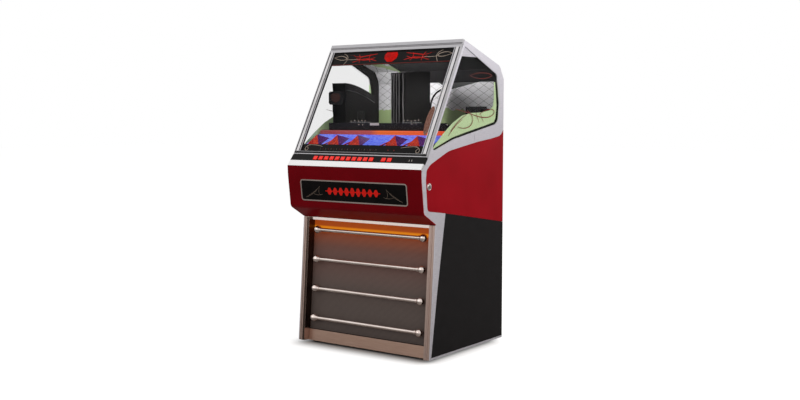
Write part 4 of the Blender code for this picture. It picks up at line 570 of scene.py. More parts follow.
# How a rod or a ring is turned when it is added
UPRIGHT = (0.0, 0.0, 0.0)
ALONG_X = (0.0, math.pi / 2, 0.0)
ALONG_Y = (math.pi / 2, 0.0, 0.0)
BENT_THICKNESS = 0.0012


def leaning(foot, head, across=0.0, rise=0.0, out=0.0):
    """The place of a leaning face: across, up the face and out of it, moved by three distances."""
    along = (Vector((0.0, *head)) - Vector((0.0, *foot))).normalized()
    side = Vector((1.0, 0.0, 0.0))
    front = side.cross(along)
    place = Matrix((side, along, front)).transposed().to_4x4()
    place.translation = Vector((0.0, *foot)) + side * across + along * rise + front * out
    return place


def beside(side, out):
    """The place of a drawing (side * y, z) on the right (1) or left (-1) side of the cabinet."""
    place = Matrix(((0.0, side, 0.0), (0.0, 0.0, 1.0), (side, 0.0, 0.0))).transposed().to_4x4()
    place.translation = Vector((side * out, 0.0, 0.0))
    return place


def on_glass(out=0.0):
    """The place of the door glass's front."""
    return leaning(GLASS_FOOT, GLASS_HEAD, 0.0, 0.0, GLASS_FRONT + PRINT_THICKNESS + out)


def on_lower_front(out):
    """The place of the lower front, moved out of it by a distance."""
    return leaning(LOWER_FOOT, LOWER_HEAD, 0.0, 0.0, out)


def pick(piece):
    """Makes one piece the only selected and active one."""
    bpy.ops.object.select_all(action="DESELECT")
    piece.select_set(True)
    bpy.context.view_layer.objects.active = piece


def settle(piece, name, finish, body, place=None):
    """Puts a finished piece at its place, gives it its finish and joins it to its body."""
    pick(piece)
    if place is not None:
        piece.matrix_world = place @ piece.matrix_world
    bpy.ops.object.transform_apply(location=True, rotation=True, scale=True)
    piece.name = name
    piece.data.name = name
    piece.data.materials.clear()
    piece.data.materials.append(FINISHES[finish])
    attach(piece, body)
    return piece


def join(pieces):
    """Joins several pieces into the first."""
    pick(pieces[0])
    for piece in pieces:
        piece.select_set(True)
    bpy.ops.object.join()
    return bpy.context.object


def select_parts(piece, kind, wanted):
    """Goes to edit mode with only those faces, edges or corners selected that a test wants."""
    bpy.ops.object.mode_set(mode="EDIT")
    bpy.ops.mesh.select_mode(type=kind)
    bpy.ops.mesh.select_all(action="DESELECT")
    bpy.ops.object.mode_set(mode="OBJECT")
    parts = {"FACE": piece.data.polygons, "EDGE": piece.data.edges, "VERT": piece.data.vertices}
    for part in parts[kind]:
        part.select = wanted(part)
    bpy.ops.object.mode_set(mode="EDIT")


def soften(degrees):
    """Shades the active piece smooth over edges flatter than an angle."""
    bpy.ops.object.shade_smooth_by_angle(angle=math.radians(degrees))


def break_edges(width):
    """Rounds every edge of the piece just made."""
    bpy.ops.object.mode_set(mode="EDIT")
    bpy.ops.mesh.select_all(action="SELECT")
    bpy.ops.mesh.bevel(offset=width, segments=2)
    bpy.ops.object.mode_set(mode="OBJECT")


def block(centre, size, edge):
    """A block with its edges rounded."""
    bpy.ops.object.select_all(action="DESELECT")
    bpy.ops.mesh.primitive_cube_add(size=1.0, location=centre, scale=size)
    break_edges(edge)
    return bpy.context.object


def rod(centre, radius, length, sides, turn):
    """A plain round rod."""
    bpy.ops.object.select_all(action="DESELECT")
    bpy.ops.mesh.primitive_cylinder_add(vertices=sides, radius=radius, depth=length, location=centre,
                                        rotation=turn)
    return bpy.context.object


def pin(centre, radius, length, sides, edge):
    """A short round pin from front to back, with its rims rounded."""
    made = rod(centre, radius, length, sides, ALONG_Y)
    break_edges(edge)
    soften(40.0)
    return made


def washer(centre, radius, bore, thickness):
    """A flat ring that faces sideways, as thick as a distance towards +X."""
    bpy.ops.object.select_all(action="DESELECT")
    bpy.ops.mesh.primitive_circle_add(vertices=48, radius=radius, fill_type="NGON", location=centre,
                                      rotation=ALONG_X)
    ring = bpy.context.object
    bpy.ops.object.mode_set(mode="EDIT")
    bpy.ops.mesh.select_all(action="SELECT")
    bpy.ops.mesh.inset(thickness=radius - bore)
    bpy.ops.mesh.delete(type="FACE")
    bpy.ops.mesh.select_all(action="SELECT")
    bpy.ops.mesh.extrude_region_move(TRANSFORM_OT_translate={"value": (thickness, 0.0, 0.0)})
    bpy.ops.mesh.select_all(action="SELECT")
    bpy.ops.mesh.normals_make_consistent(inside=False)
    bpy.ops.object.mode_set(mode="OBJECT")
    return ring


def cut_sheet(outline, thickness=PRINT_THICKNESS):
    """A flat sheet cut to an outline, with its front at zero."""
    bpy.ops.object.select_all(action="DESELECT")
    bpy.ops.mesh.primitive_circle_add(vertices=len(outline), fill_type="NOTHING")
    sheet = bpy.context.object
    for vertex, (x, y) in zip(sheet.data.vertices, outline):
        vertex.co = (x, y, -thickness)
    bpy.ops.object.mode_set(mode="EDIT")
    bpy.ops.mesh.select_all(action="SELECT")
    bpy.ops.mesh.edge_face_add()
    bpy.ops.mesh.extrude_region_move(TRANSFORM_OT_translate={"value": (0.0, 0.0, thickness)})
    bpy.ops.mesh.select_all(action="SELECT")
    bpy.ops.mesh.normals_make_consistent(inside=False)
    bpy.ops.object.mode_set(mode="OBJECT")
    return sheet


def bent_sheet(section, start, end):
    """A thin sheet bent along a line of (y, z) points, between two places across."""
    bpy.ops.object.select_all(action="DESELECT")
    bpy.ops.mesh.primitive_grid_add(x_subdivisions=1, y_subdivisions=len(section) - 1, size=1.0)
    sheet = bpy.context.object
    rows = sorted({round(vertex.co.y, 5) for vertex in sheet.data.vertices})
    for vertex in sheet.data.vertices:
        y, z = section[rows.index(round(vertex.co.y, 5))]
        vertex.co = (start if vertex.co.x < 0.0 else end, y, z)
    pick(sheet)
    solid = sheet.modifiers.new("thickness", "SOLIDIFY")
    solid.thickness = BENT_THICKNESS
    bpy.ops.object.modifier_apply(modifier=solid.name)
    return sheet


def strip(x, y, width, height, thickness=PRINT_THICKNESS):
    """A rectangular sheet about a point."""
    left, right = x - width / 2, x + width / 2
    low, high = y - height / 2, y + height / 2
    return cut_sheet([(left, low), (right, low), (right, high), (left, high)], thickness)


def oval(x, y, width, height, sides=40):
    """An oval print about a point."""
    angles = [2.0 * math.pi * i / sides for i in range(sides)]
    return cut_sheet([(x + width / 2 * math.cos(a), y + height / 2 * math.sin(a)) for a in angles])


def sweep(points, radius, round_steps, long_steps, swell=None):
    """A round rod swept through points, its radius swelling along it where a function says so."""
    bpy.ops.object.select_all(action="DESELECT")
    bpy.ops.curve.primitive_nurbs_path_add()
    swept = bpy.context.object
    curve = swept.data
    curve.splines.clear()
    spline = curve.splines.new("NURBS")
    spline.points.add(len(points) - 1)
    for i, point in enumerate(points):
        spline.points[i].co = (*point, 1.0)
        if swell:
            spline.points[i].radius = swell(i / (len(points) - 1))
    spline.order_u = min(4, len(points))
    spline.use_endpoint_u = True
    curve.bevel_depth = radius
    curve.bevel_resolution = round_steps
    curve.resolution_u = long_steps
    curve.use_fill_caps = True
    pick(swept)
    bpy.ops.object.convert(target="MESH")
    return bpy.context.object


def tube(points, radius):
    """A round flexible lead through points."""
    return sweep(points, radius, 2, 8)


def draw_line(points, width):
    """A flat brushed line through points, thinner towards both ends."""
    line = sweep([(x, y, 0.0) for x, y in points], width / 2, 1, 5,
                 lambda share: 0.45 + 0.55 * math.sin(math.pi * share))
    line.scale = (1.0, 1.0, STROKE_THICKNESS / width)
    bpy.ops.object.transform_apply(location=True, rotation=True, scale=True)
    return line


def draw_lines(paths, width):
    """Several brushed lines as one piece."""
    return join([draw_line(points, width) for points in paths])


def mirrored(paths, rise=0.0):
    """Paths raised by a distance, and their mirror image."""
    return [[(side * x, y + rise) for x, y in points] for side in (1.0, -1.0) for points in paths]


def write_number(word, size, across, rise):
    """A numeral as a thin raised print."""
    bpy.ops.object.select_all(action="DESELECT")
    bpy.ops.object.text_add()
    number = bpy.context.object
    number.data.body = word
    number.data.size = size
    number.data.align_x = "CENTER"
    number.data.align_y = "CENTER"
    number.data.extrude = PRINT_THICKNESS / 2
    number.data.resolution_u = 3
    pick(number)
    bpy.ops.object.convert(target="MESH")
    number = bpy.context.object
    number.location = (across, rise, 0.0)
    bpy.ops.object.transform_apply(location=True, rotation=True, scale=True)
    return number


def merged_copy(name):
    """A copy of one solid with its loose triangles joined up."""
    node = bpy.data.objects[name]
    bpy.ops.object.select_all(action="DESELECT")
    twin = node.copy()
    twin.data = node.data.copy()
    bpy.context.collection.objects.link(twin)
    pick(twin)
    bpy.ops.object.mode_set(mode="EDIT")
    bpy.ops.mesh.select_all(action="SELECT")
    bpy.ops.mesh.remove_doubles(threshold=0.00001)
    bpy.ops.object.mode_set(mode="OBJECT")
    return twin


# Door

HEADER_LOW = 0.506
HEADER_HIGH = 0.5805
HEADER_MIDDLE = (HEADER_LOW + HEADER_HIGH) / 2
HEADER_EDGE_RISE = 0.0040
HEADER_EDGE_WIDTH = 0.0038
BAND_LOW = 0.0182
BAND_HIGH = 0.0605
BAND_MIDDLE = (BAND_LOW + BAND_HIGH) / 2
LENS_RISE = HEADER_MIDDLE + 0.004
LENS_THICKNESS = 0.0010
LENS_RIM = 0.006
LENS_RIM_RISE = 0.0030
LENS_CROWN = 0.009
LENS_CROWN_RISE = 0.0016
LENS_OUTLINE = [(-0.040, 0.012), (-0.030, 0.026), (0.030, 0.026), (0.040, 0.012),
                (0.036, -0.010), (0.014, -0.029), (-0.014, -0.029), (-0.036, -0.010)]
NUMBER_SIZE = 0.0125
NUMBER_COUNT = 11
NUMBER_RISE = BAND_MIDDLE - 0.004
BUTTON_START = -0.2450
BUTTON_PITCH = 0.0340
DOT_WIDTH = 0.004
WIDE_DOT_PLACES = (0.1665, 0.2005)
WIDE_DOT_WIDTH = 0.007
OVAL_PLACE = (0.3450, 0.193)
OVAL_WIDTH = 0.038
OVAL_LENGTH = 0.152

# Right half of the header's lines, from its middle: finish, width, lift and paths
HEADER_LINES = {
    "header_cream_lines": ("ink_cream", 0.0034, STROKE_LIFT, [
        [(0.358, 0.010), (0.330, 0.022), (0.296, 0.018), (0.270, 0.002), (0.290, -0.007), (0.325, -0.004),
         (0.358, 0.010)],
        [(0.302, 0.031), (0.268, 0.021), (0.261, 0.000), (0.286, -0.031)],
        [(0.276, -0.002), (0.236, -0.006), (0.190, -0.003)],
    ]),
    "header_red_lines": ("ink_red", 0.0052, STROKE_LIFT, [
        [(0.238, 0.020), (0.204, 0.006), (0.168, 0.014), (0.128, 0.018), (0.088, 0.024)],
        [(0.232, -0.020), (0.200, -0.010), (0.160, 0.002), (0.118, -0.006), (0.084, -0.016)],
        [(0.216, 0.002), (0.180, -0.012), (0.140, -0.014), (0.096, 0.004)],
        [(0.204, 0.024), (0.184, 0.004), (0.190, -0.022)],
        [(0.130, 0.024), (0.142, 0.000), (0.120, -0.020)],
    ]),
    "header_maroon_lines": ("ink_maroon", 0.0020, 2 * STROKE_LIFT, [
        [(0.262, 0.022), (0.228, 0.020), (0.190, 0.004), (0.150, -0.002)],
        [(0.244, -0.014), (0.212, -0.018), (0.176, -0.004), (0.104, 0.010)],
    ]),
}

# Right half of the band's loops, from its middle
BAND_LOOPS = [
    [(0.300, 0.01715), (0.326, 0.01815), (0.344, 0.006), (0.344, -0.010), (0.332, -0.016), (0.322, -0.008),
     (0.326, 0.004), (0.338, 0.010)],
    [(0.326, 0.01715), (0.296, 0.01815), (0.262, 0.01515), (0.236, 0.00915)],
]
BAND_LOOP_WIDTH = 0.0026


def print_door(piece, name, finish, lift=STROKE_LIFT):
    """Settles a print on the front of the door's glass."""
    settle(piece, name, finish, "door", on_glass(lift))


def make_header_lens():
    """Domed red lens with a cut rim, in the middle of the header."""
    lens = cut_sheet([(x, y + LENS_RISE) for x, y in LENS_OUTLINE], LENS_THICKNESS)
    select_parts(lens, "FACE", lambda face: face.normal.z > 0.9)
    bpy.ops.mesh.inset(thickness=LENS_RIM, depth=LENS_RIM_RISE)
    bpy.ops.mesh.inset(thickness=LENS_CROWN, depth=LENS_CROWN_RISE)
    bpy.ops.object.mode_set(mode="OBJECT")
    print_door(lens, "header_lens", "lens", LENS_THICKNESS)


def make_door_prints():
    """Black printed bands of the door glass with their brushed lines and numbers."""
    header = strip(0.0, HEADER_MIDDLE, 2 * GLASS_HALF, HEADER_HIGH - HEADER_LOW)
    print_door(header, "glass_header_print", "ink_black", 0.0)
    band = strip(0.0, BAND_MIDDLE, 2 * GLASS_HALF, BAND_HIGH - BAND_LOW)
    print_door(band, "glass_band_print", "ink_black", 0.0)
    for name, (finish, width, lift, paths) in HEADER_LINES.items():
        print_door(draw_lines(mirrored(paths, HEADER_MIDDLE), width), name, finish, lift)
    edge = strip(0.0, HEADER_LOW + HEADER_EDGE_RISE, 2 * GLASS_HALF, HEADER_EDGE_WIDTH)
    print_door(edge, "header_red_edge", "ink_maroon")
    make_header_lens()
    loops = draw_lines(mirrored(BAND_LOOPS, BAND_MIDDLE), BAND_LOOP_WIDTH)
    print_door(loops, "band_cream_loops", "ink_cream")
    numbers = []
    for i in range(NUMBER_COUNT):
        numbers.append(write_number(str(i + 1), NUMBER_SIZE, BUTTON_START + BUTTON_PITCH * i, NUMBER_RISE))
    print_door(join(numbers), "band_numbers", "ink_cream_dim")
    dots = []
    for i in range(NUMBER_COUNT - 1):
        dots.append(oval(BUTTON_START + BUTTON_PITCH * (i + 0.5), NUMBER_RISE, DOT_WIDTH, DOT_WIDTH, 10))
    for across in WIDE_DOT_PLACES:
        dots.append(oval(across, NUMBER_RISE, WIDE_DOT_WIDTH, WIDE_DOT_WIDTH, 16))
    print_door(join(dots), "band_red_dots", "ink_maroon")
    copper = oval(*OVAL_PLACE, OVAL_WIDTH, OVAL_LENGTH)
    print_door(copper, "glass_copper_oval", "ink_copper", 0.0)


SEAL_LOW = 0.0180
SEAL_HIGH = 0.5808
SEAL_DEPTH = 0.0022
SEAL_WIDTH = 0.0035


def make_glass_seal():
    """Rubber seal round the inner edge of the door frame."""
    seal = strip(0.0, (SEAL_LOW + SEAL_HIGH) / 2, 2 * GLASS_HALF, SEAL_HIGH - SEAL_LOW, SEAL_DEPTH)
    select_parts(seal, "FACE", lambda face: abs(face.normal.z) > 0.9)
    bpy.ops.mesh.inset(thickness=SEAL_WIDTH)
    bpy.ops.mesh.bridge_edge_loops()
    bpy.ops.object.mode_set(mode="OBJECT")
    settle(seal, "glass_seal", "seal", "door", on_glass(SEAL_DEPTH - PRINT_THICKNESS))


RAIL_MIDDLE = 0.3815
RAIL_LOW = 0.018
RAIL_LENGTH = 0.564
RAIL_FACE = 0.0004
BEAD_WIDTH = 0.0150
BEAD_HEIGHT = 0.0020
BEAD_STEPS = 8
# Black strips beside each bead, painted shade of the rail's flutes: their shift and widths
SHADE_STRIP_SHIFT = 0.0108
OUTER_SHADE_STRIP = 0.0046
INNER_SHADE_STRIP = 0.0030
FOOT_STRIP_RISE = 0.0115
FOOT_STRIP_WIDTH = 0.0095
FOOT_STRIP_LENGTH = 2 * RAIL_MIDDLE + 0.030


def half_round(length, width, height):
    """A half-round strip along the second axis, flat side at zero."""
    outline = [(-width / 2, 0.0)]
    for step in range(1, BEAD_STEPS):
        angle = math.pi * (1.0 - step / BEAD_STEPS)
        outline.append((width / 2 * math.cos(angle), height * math.sin(angle)))
    outline.append((width / 2, 0.0))
    bead = cut_sheet(outline, length)
    bead.rotation_euler = ALONG_Y
    bpy.ops.object.transform_apply(location=False, rotation=True, scale=False)
    soften(35.0)
    return bead


def make_door_trims():
    """Bright beads of the door's side rails with black strips of painted shade beside them, and its dark foot
    strip.
    """
    beads = []
    grooves = []
    for side in (-1.0, 1.0):
        bead = half_round(RAIL_LENGTH, BEAD_WIDTH, BEAD_HEIGHT)
        bead.location = (side * RAIL_MIDDLE, RAIL_LOW, RAIL_FACE)
        bpy.ops.object.transform_apply(location=True, rotation=False, scale=False)
        beads.append(bead)
        # Black strips of painted shade beside the bead
        for shift, width in ((-SHADE_STRIP_SHIFT, OUTER_SHADE_STRIP), (SHADE_STRIP_SHIFT, INNER_SHADE_STRIP)):
            across = side * (RAIL_MIDDLE - shift)
            grooves.append(strip(across, RAIL_LOW + RAIL_LENGTH / 2, width, RAIL_LENGTH))
    settle(join(beads), "door_rail_beads", "bead", "door", leaning(GLASS_FOOT, GLASS_HEAD))
    lifted = leaning(GLASS_FOOT, GLASS_HEAD, 0.0, 0.0, RAIL_FACE + PRINT_THICKNESS)
    settle(join(grooves), "door_rail_grooves", "seal", "door", lifted)
    foot = strip(0.0, FOOT_STRIP_RISE, FOOT_STRIP_LENGTH, FOOT_STRIP_WIDTH)
    settle(foot, "door_foot_strip", "stoved", "door", lifted)


# Side windows, bands and lock

WINDOW_FRONT = (-0.2790, 0.9690)
WINDOW_REAR = (0.2940, 1.3370)
WINDOW_TOP = (0.0000, 1.4595)
PANE_BACK = 0.3900
PANE_FRONT = 0.3934
BAND_FACE = 0.4001
WINDOW_BORDER = [
    (-0.2600, 0.9790), (-0.1800, 1.0050), (-0.0900, 1.0330), (0.0500, 1.0600), (0.1800, 1.0830),
    (0.2840, 1.1030), (0.2990, 1.1250), (0.3080, 1.1850), (0.3010, 1.2500), (0.2930, 1.3000),
    (0.2820, 1.3000), (0.2830, 1.2300), (0.2760, 1.1820), (0.2400, 1.1600), (0.1600, 1.1500),
    (0.0700, 1.1470), (-0.0100, 1.1340), (-0.0900, 1.1000), (-0.1700, 1.0500), (-0.2300, 1.0060),
]
WINDOW_LINES = [
    [(-0.070, 1.166), (-0.010, 1.156), (0.070, 1.142), (0.150, 1.126), (0.230, 1.124), (0.280, 1.142),
     (0.285, 1.160), (0.250, 1.170), (0.190, 1.160), (0.140, 1.140)],
    [(0.030, 1.160), (0.078, 1.140), (0.090, 1.108), (0.060, 1.080), (0.000, 1.070), (-0.050, 1.082)],
    [(-0.110, 1.062), (-0.050, 1.112), (0.030, 1.140)],
    [(-0.130, 1.040), (-0.080, 1.086), (-0.010, 1.116)],
    [(0.110, 1.150), (0.128, 1.124), (0.138, 1.100)],
    [(0.150, 1.146), (0.166, 1.122), (0.180, 1.104)],
]
WINDOW_LINE_WIDTH = 0.0042
RING = [(0.0555, 1.3237), (0.1028, 1.3367), (0.1587, 1.3420), (0.2183, 1.3406), (0.2697, 1.3319),
        (0.2186, 1.3177), (0.1590, 1.3112), (0.1030, 1.3136), (0.0555, 1.3237)]
RING_WIDTH = 0.0028


def make_window_prints():
    """Green border of each side window behind its glass, and brushed lines on the glass."""
    for label, side in SIDES:
        border = cut_sheet([(side * y, z) for y, z in WINDOW_BORDER])
        settle(border, "window_border_" + label, "ink_green", "cabinet",
               beside(side, PANE_BACK))
        lines = draw_lines([[(side * y, z) for y, z in path] for path in WINDOW_LINES], WINDOW_LINE_WIDTH)
        settle(lines, "window_lines_" + label, "ink_maroon", "cabinet",
               beside(side, PANE_FRONT + STROKE_THICKNESS))
    ring = draw_lines([RING], RING_WIDTH)
    settle(ring, "window_ring", "ink_maroon", "cabinet",
           beside(1.0, PANE_FRONT + STROKE_THICKNESS))


# The gusset stands clear of the window's edge by a few of these margins
GUSSET_LOW = 1.4120
GUSSET_MARGIN = 0.0015
GUSSET_THICKNESS = 0.0040
GUSSET_RIBS = 8
GUSSET_RIB_PITCH = 0.0050
GUSSET_RIB_RADIUS = 0.0018


def window_edge(end, height):
    """How far back a window's upper edge lies at a height, on its way from its top to an end."""
    return WINDOW_TOP[0] + (end[0] - WINDOW_TOP[0]) * (height - WINDOW_TOP[1]) / (end[1] - WINDOW_TOP[1])


def make_gussets():
    """Ribbed plates in the upper front corners of the side windows."""
    outline = [(window_edge(WINDOW_FRONT, GUSSET_LOW) + 2 * GUSSET_MARGIN, GUSSET_LOW),
               (window_edge(WINDOW_REAR, GUSSET_LOW) - 4 * GUSSET_MARGIN, GUSSET_LOW),
               (WINDOW_TOP[0], WINDOW_TOP[1] - GUSSET_MARGIN)]
    for label, side in SIDES:
        parts = [cut_sheet([(side * y, z) for y, z in outline], GUSSET_THICKNESS)]
        for rib in range(GUSSET_RIBS):
            height = GUSSET_LOW + GUSSET_RIB_PITCH * (rib + 0.5)
            start = window_edge(WINDOW_FRONT, height) + 3 * GUSSET_MARGIN
            end = window_edge(WINDOW_REAR, height) - 5 * GUSSET_MARGIN
            centre = (side * (start + end) / 2, height, 0.0)
            parts.append(rod(centre, GUSSET_RIB_RADIUS, end - start, sides=12, turn=ALONG_X))
        settle(join(parts), "window_gusset_" + label, "band", "cabinet",
               beside(side, PANE_FRONT + GUSSET_THICKNESS))


LAP_THICKNESS = 0.0008
LAP_TOP = (0.0880, 1.0465)
LAP_FOOT = (0.0900, 1.0145)
LAP_Y = 0.0925
LAP_Z = 1.0305
LAP_RADIUS = 0.0160
LAP_START = 80.0
LAP_TURN = 170.0
LAP_STEPS = 8


def make_band_lap():
    """Half-round lap where the two lengths of the right side's band meet."""
    outline = [LAP_TOP]
    for step in range(LAP_STEPS + 1):
        angle = math.radians(LAP_START - LAP_TURN * step / LAP_STEPS)
        outline.append((LAP_Y + LAP_RADIUS * math.cos(angle), LAP_Z + LAP_RADIUS * math.sin(angle)))
    outline.append(LAP_FOOT)
    lap = cut_sheet(outline, LAP_THICKNESS)
    settle(lap, "band_lap", "band", "cabinet", beside(1.0, BAND_FACE + LAP_THICKNESS))


LOCK_PLACE = (0.4001, -0.2947, 0.81248)
ROSE_RADIUS = 0.0160
ROSE_BORE = 0.0125
ROSE_THICKNESS = 0.0017
ROSE_EDGE = 0.0005


def make_lock_rose():
    """Chromed washer round the head of the lock, on the right side."""
    rose = washer(LOCK_PLACE, ROSE_RADIUS, ROSE_BORE, ROSE_THICKNESS)
    bpy.ops.object.mode_set(mode="EDIT")
    bpy.ops.mesh.select_all(action="DESELECT")
    bpy.ops.mesh.select_mode(type="EDGE")
    bpy.ops.mesh.edges_select_sharp(sharpness=1.0)
    bpy.ops.mesh.bevel(offset=ROSE_EDGE, segments=2)
    bpy.ops.object.mode_set(mode="OBJECT")
    settle(rose, "lock_rose", "rose", "cabinet")


# Front

BAR_END = 0.321
BALL_RADIUS = 0.0200
BALL_STEPS = 14
BALL_TURN = 150.0
COLLAR_RADIUS = 0.0125
COLLAR_LENGTH = 0.007
COLLAR_EDGE = 0.0010
BAR_RADIUS = 0.0092
BAR_STEPS = 28
POST_RADIUS = 0.004
POST_LENGTH = 0.025
BAR_TOP_DROP = 0.064
BAR_PITCH = 0.147
BAR_SETBACK = 0.020
LOWER_LENGTH = 0.62274


def make_grille_bars():
    """Smooth turned bars with ball ends, collars and posts, one profile spun and copied four times."""
    profile = [(BAR_END + BALL_RADIUS, 0.0)]
    for step in range(1, BALL_STEPS + 1):
        angle = math.radians(BALL_TURN * step / BALL_STEPS)
        profile.append((BAR_END + BALL_RADIUS * math.cos(angle), BALL_RADIUS * math.sin(angle)))
    neck = profile[-1][0]
    profile += [(neck, COLLAR_RADIUS), (neck - COLLAR_LENGTH, COLLAR_RADIUS),
                (neck - COLLAR_LENGTH - COLLAR_EDGE, COLLAR_RADIUS - COLLAR_EDGE),
                (neck - COLLAR_LENGTH - COLLAR_EDGE, BAR_RADIUS)]
    profile += [(-x, radius) for x, radius in reversed(profile)]
    bpy.ops.object.select_all(action="DESELECT")
    bpy.ops.mesh.primitive_circle_add(vertices=len(profile), fill_type="NOTHING")
    bar = bpy.context.object
    for vertex, (x, radius) in zip(bar.data.vertices, profile):
        vertex.co = (x, radius, 0.0)
    ends = {0, len(profile) - 1}
    select_parts(bar, "EDGE", lambda edge: set(edge.vertices) == ends)
    bpy.ops.mesh.delete(type="EDGE")
    bpy.ops.mesh.select_all(action="SELECT")
    bpy.ops.mesh.spin(steps=BAR_STEPS, angle=2.0 * math.pi, center=(0.0, 0.0, 0.0), axis=(1.0, 0.0, 0.0))
    bpy.ops.mesh.select_all(action="SELECT")
    bpy.ops.mesh.remove_doubles(threshold=0.00002)
    bpy.ops.mesh.normals_make_consistent(inside=False)
    bpy.ops.object.mode_set(mode="OBJECT")
    soften(35.0)
    parts = [bar]
    for side in (-1.0, 1.0):
        centre = (side * BAR_END, 0.0, -POST_LENGTH / 2)
        parts.append(rod(centre, POST_RADIUS, POST_LENGTH, sides=20, turn=UPRIGHT))
        soften(35.0)
    pattern = join(parts)
    for number in range(4):
        pick(pattern)
        bpy.ops.object.duplicate()
        copy = bpy.context.object
        rise = LOWER_LENGTH - BAR_TOP_DROP - BAR_PITCH * number
        settle(copy, "turned_bar_%d" % (number + 1), "chrome", "cabinet",
               leaning(LOWER_FOOT, LOWER_HEAD, 0.0, rise, -BAR_SETBACK))
        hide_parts("grille_bar_%d" % (number + 1))
    bpy.data.objects.remove(pattern, do_unlink=True)


PLAQUE_RISE = 0.0875
PLAQUE_FACE = 0.0019
PLAQUE_LINE_LENGTH = 0.330
PLAQUE_LINE_WIDTH = 0.0040
BLOCKS_ASIDE = 4
BLOCK_PITCH = 0.0350
BLOCK_WIDTH = 0.0300
BLOCK_HALF = 0.0205
BLOCK_FALL = 0.0010
WINGS = [
    [(0.292, -0.036), (0.250, -0.016), (0.214, 0.004), (0.200, 0.022)],
    [(0.200, 0.022), (0.212, -0.006), (0.208, -0.018), (0.192, -0.022)],
    [(0.286, -0.034), (0.248, -0.022), (0.222, -0.004), (0.212, 0.012)],
    [(0.240, -0.016), (0.222, -0.024), (0.196, -0.022), (0.182, -0.016)],
]
WING_LINE_WIDTH = 0.0028


def make_plaque_art():
    """Row of bright red blocks on a line, and cream brushed wings, on the black plaque."""
    place = leaning(FRONT_FOOT, FRONT_HEAD, 0.0, PLAQUE_RISE, PLAQUE_FACE)
    blocks = [strip(0.0, 0.0, PLAQUE_LINE_LENGTH, PLAQUE_LINE_WIDTH)]
    wide = BLOCK_WIDTH / 2
    for step in range(-BLOCKS_ASIDE, BLOCKS_ASIDE + 1):
        across = BLOCK_PITCH * step
        half = BLOCK_HALF - abs(step) * BLOCK_FALL
        corners = [(-wide, 0.0), (-wide / 3, half), (wide / 3, half), (wide, 0.0), (wide / 3, -half),
                   (-wide / 3, -half)]
        blocks.append(cut_sheet([(across + x, y) for x, y in corners], 2 * PRINT_THICKNESS))
    # The red ink's glow paints light onto these blocks
    settle(join(blocks), "plaque_red_blocks", "ink_red", "cabinet", place)
    wings = draw_lines(mirrored(WINGS), WING_LINE_WIDTH)
    settle(wings, "plaque_cream_lines", "ink_cream_dim", "cabinet", place)


DISPLAY_ACROSS = 0.320
DISPLAY_RISE = 0.0497
DISPLAY_WIDTH = 0.0594
DISPLAY_HEIGHT = 0.0194
DISPLAY_THICKNESS = 0.0012
DISPLAY_SINK = 0.0003
DIGIT_SIZE = 0.013
# Each numeral and its place across the window
DIGITS = (("2", -0.007), ("5", 0.007))


def make_display():
    """Dark display window in the control strip, with two lit numerals."""
    pane = strip(0.0, 0.0, DISPLAY_WIDTH, DISPLAY_HEIGHT, DISPLAY_THICKNESS)
    sunk = leaning(STRIP_FOOT, GLASS_FOOT, DISPLAY_ACROSS, DISPLAY_RISE, -DISPLAY_SINK)
    settle(pane, "display_window", "ink_black", "cabinet", sunk)
    digits = [write_number(word, DIGIT_SIZE, across, 0.0) for word, across in DIGITS]
    settle(join(digits), "display_numerals", "ink_white", "cabinet",
           leaning(STRIP_FOOT, GLASS_FOOT, DISPLAY_ACROSS, DISPLAY_RISE))


KICK_HALF = 0.3640
KICK_CLEAR = 0.0100
KICK_RISE = 0.0570
KICK_SETBACK = 0.0360
KICK_PLATE_WIDTH = 2 * KICK_HALF - 0.0010
KICK_PLATE_THICKNESS = 0.0015
KICK_PLATE_FACE = 0.0017 - KICK_SETBACK
KICK_SEAL_RISE = KICK_RISE + 0.0016
KICK_SEAL_WIDTH = 0.0030
KICK_SEAL_FACE = 0.0032 - KICK_SETBACK


def cut_back(piece, low, high):
    """Cuts the lower front of a piece back between the side stiles, between two rises."""
    cutter = strip(0.0, (low + high) / 2, 2 * KICK_HALF, high - low, KICK_SETBACK + KICK_CLEAR)
    cutter.matrix_world = on_lower_front(KICK_CLEAR)
    pick(cutter)
    bpy.ops.object.transform_apply(location=True, rotation=True, scale=True)
    pick(piece)
    recess = piece.modifiers.new("recess", "BOOLEAN")
    recess.operation = "DIFFERENCE"
    recess.solver = "EXACT"
    recess.object = cutter
    bpy.ops.object.modifier_apply(modifier=recess.name)
    bpy.data.objects.remove(cutter, do_unlink=True)
    return piece


def make_kick_plate():
    """Kick plate set back between the stiles, as deep as the bars stand, with the base cut back under it."""
    surround = cut_back(merged_copy("front_surround"), low=-0.0200, high=KICK_RISE + 0.0015)
    settle(surround, "recessed_surround", "steel", "cabinet")
    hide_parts("front_surround")
    base = cut_back(merged_copy("base_board"), low=0.0005, high=KICK_RISE)
    settle(base, "recessed_base", "board", "cabinet")
    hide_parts("base_board")
    plate = strip(0.0, KICK_RISE / 2, KICK_PLATE_WIDTH, KICK_RISE, KICK_PLATE_THICKNESS)
    settle(plate, "kick_plate", "kick", "cabinet", on_lower_front(KICK_PLATE_FACE))
    seal = strip(0.0, KICK_SEAL_RISE, KICK_PLATE_WIDTH, KICK_SEAL_WIDTH, KICK_SEAL_WIDTH)
    settle(seal, "kick_seal", "seal", "cabinet", on_lower_front(KICK_SEAL_FACE))


CHEEK_ACROSS = 0.3634
CHEEK_LOW = 0.0620
CHEEK_HIGH = 0.6180
CHEEK_THICKNESS = 0.0004
CHEEK_DEPTH = 0.0420
CHEEK_SINK = 0.0010
STILE_REFLECTION_ACROSS = -0.3760
STILE_REFLECTION_WIDTH = 0.0230


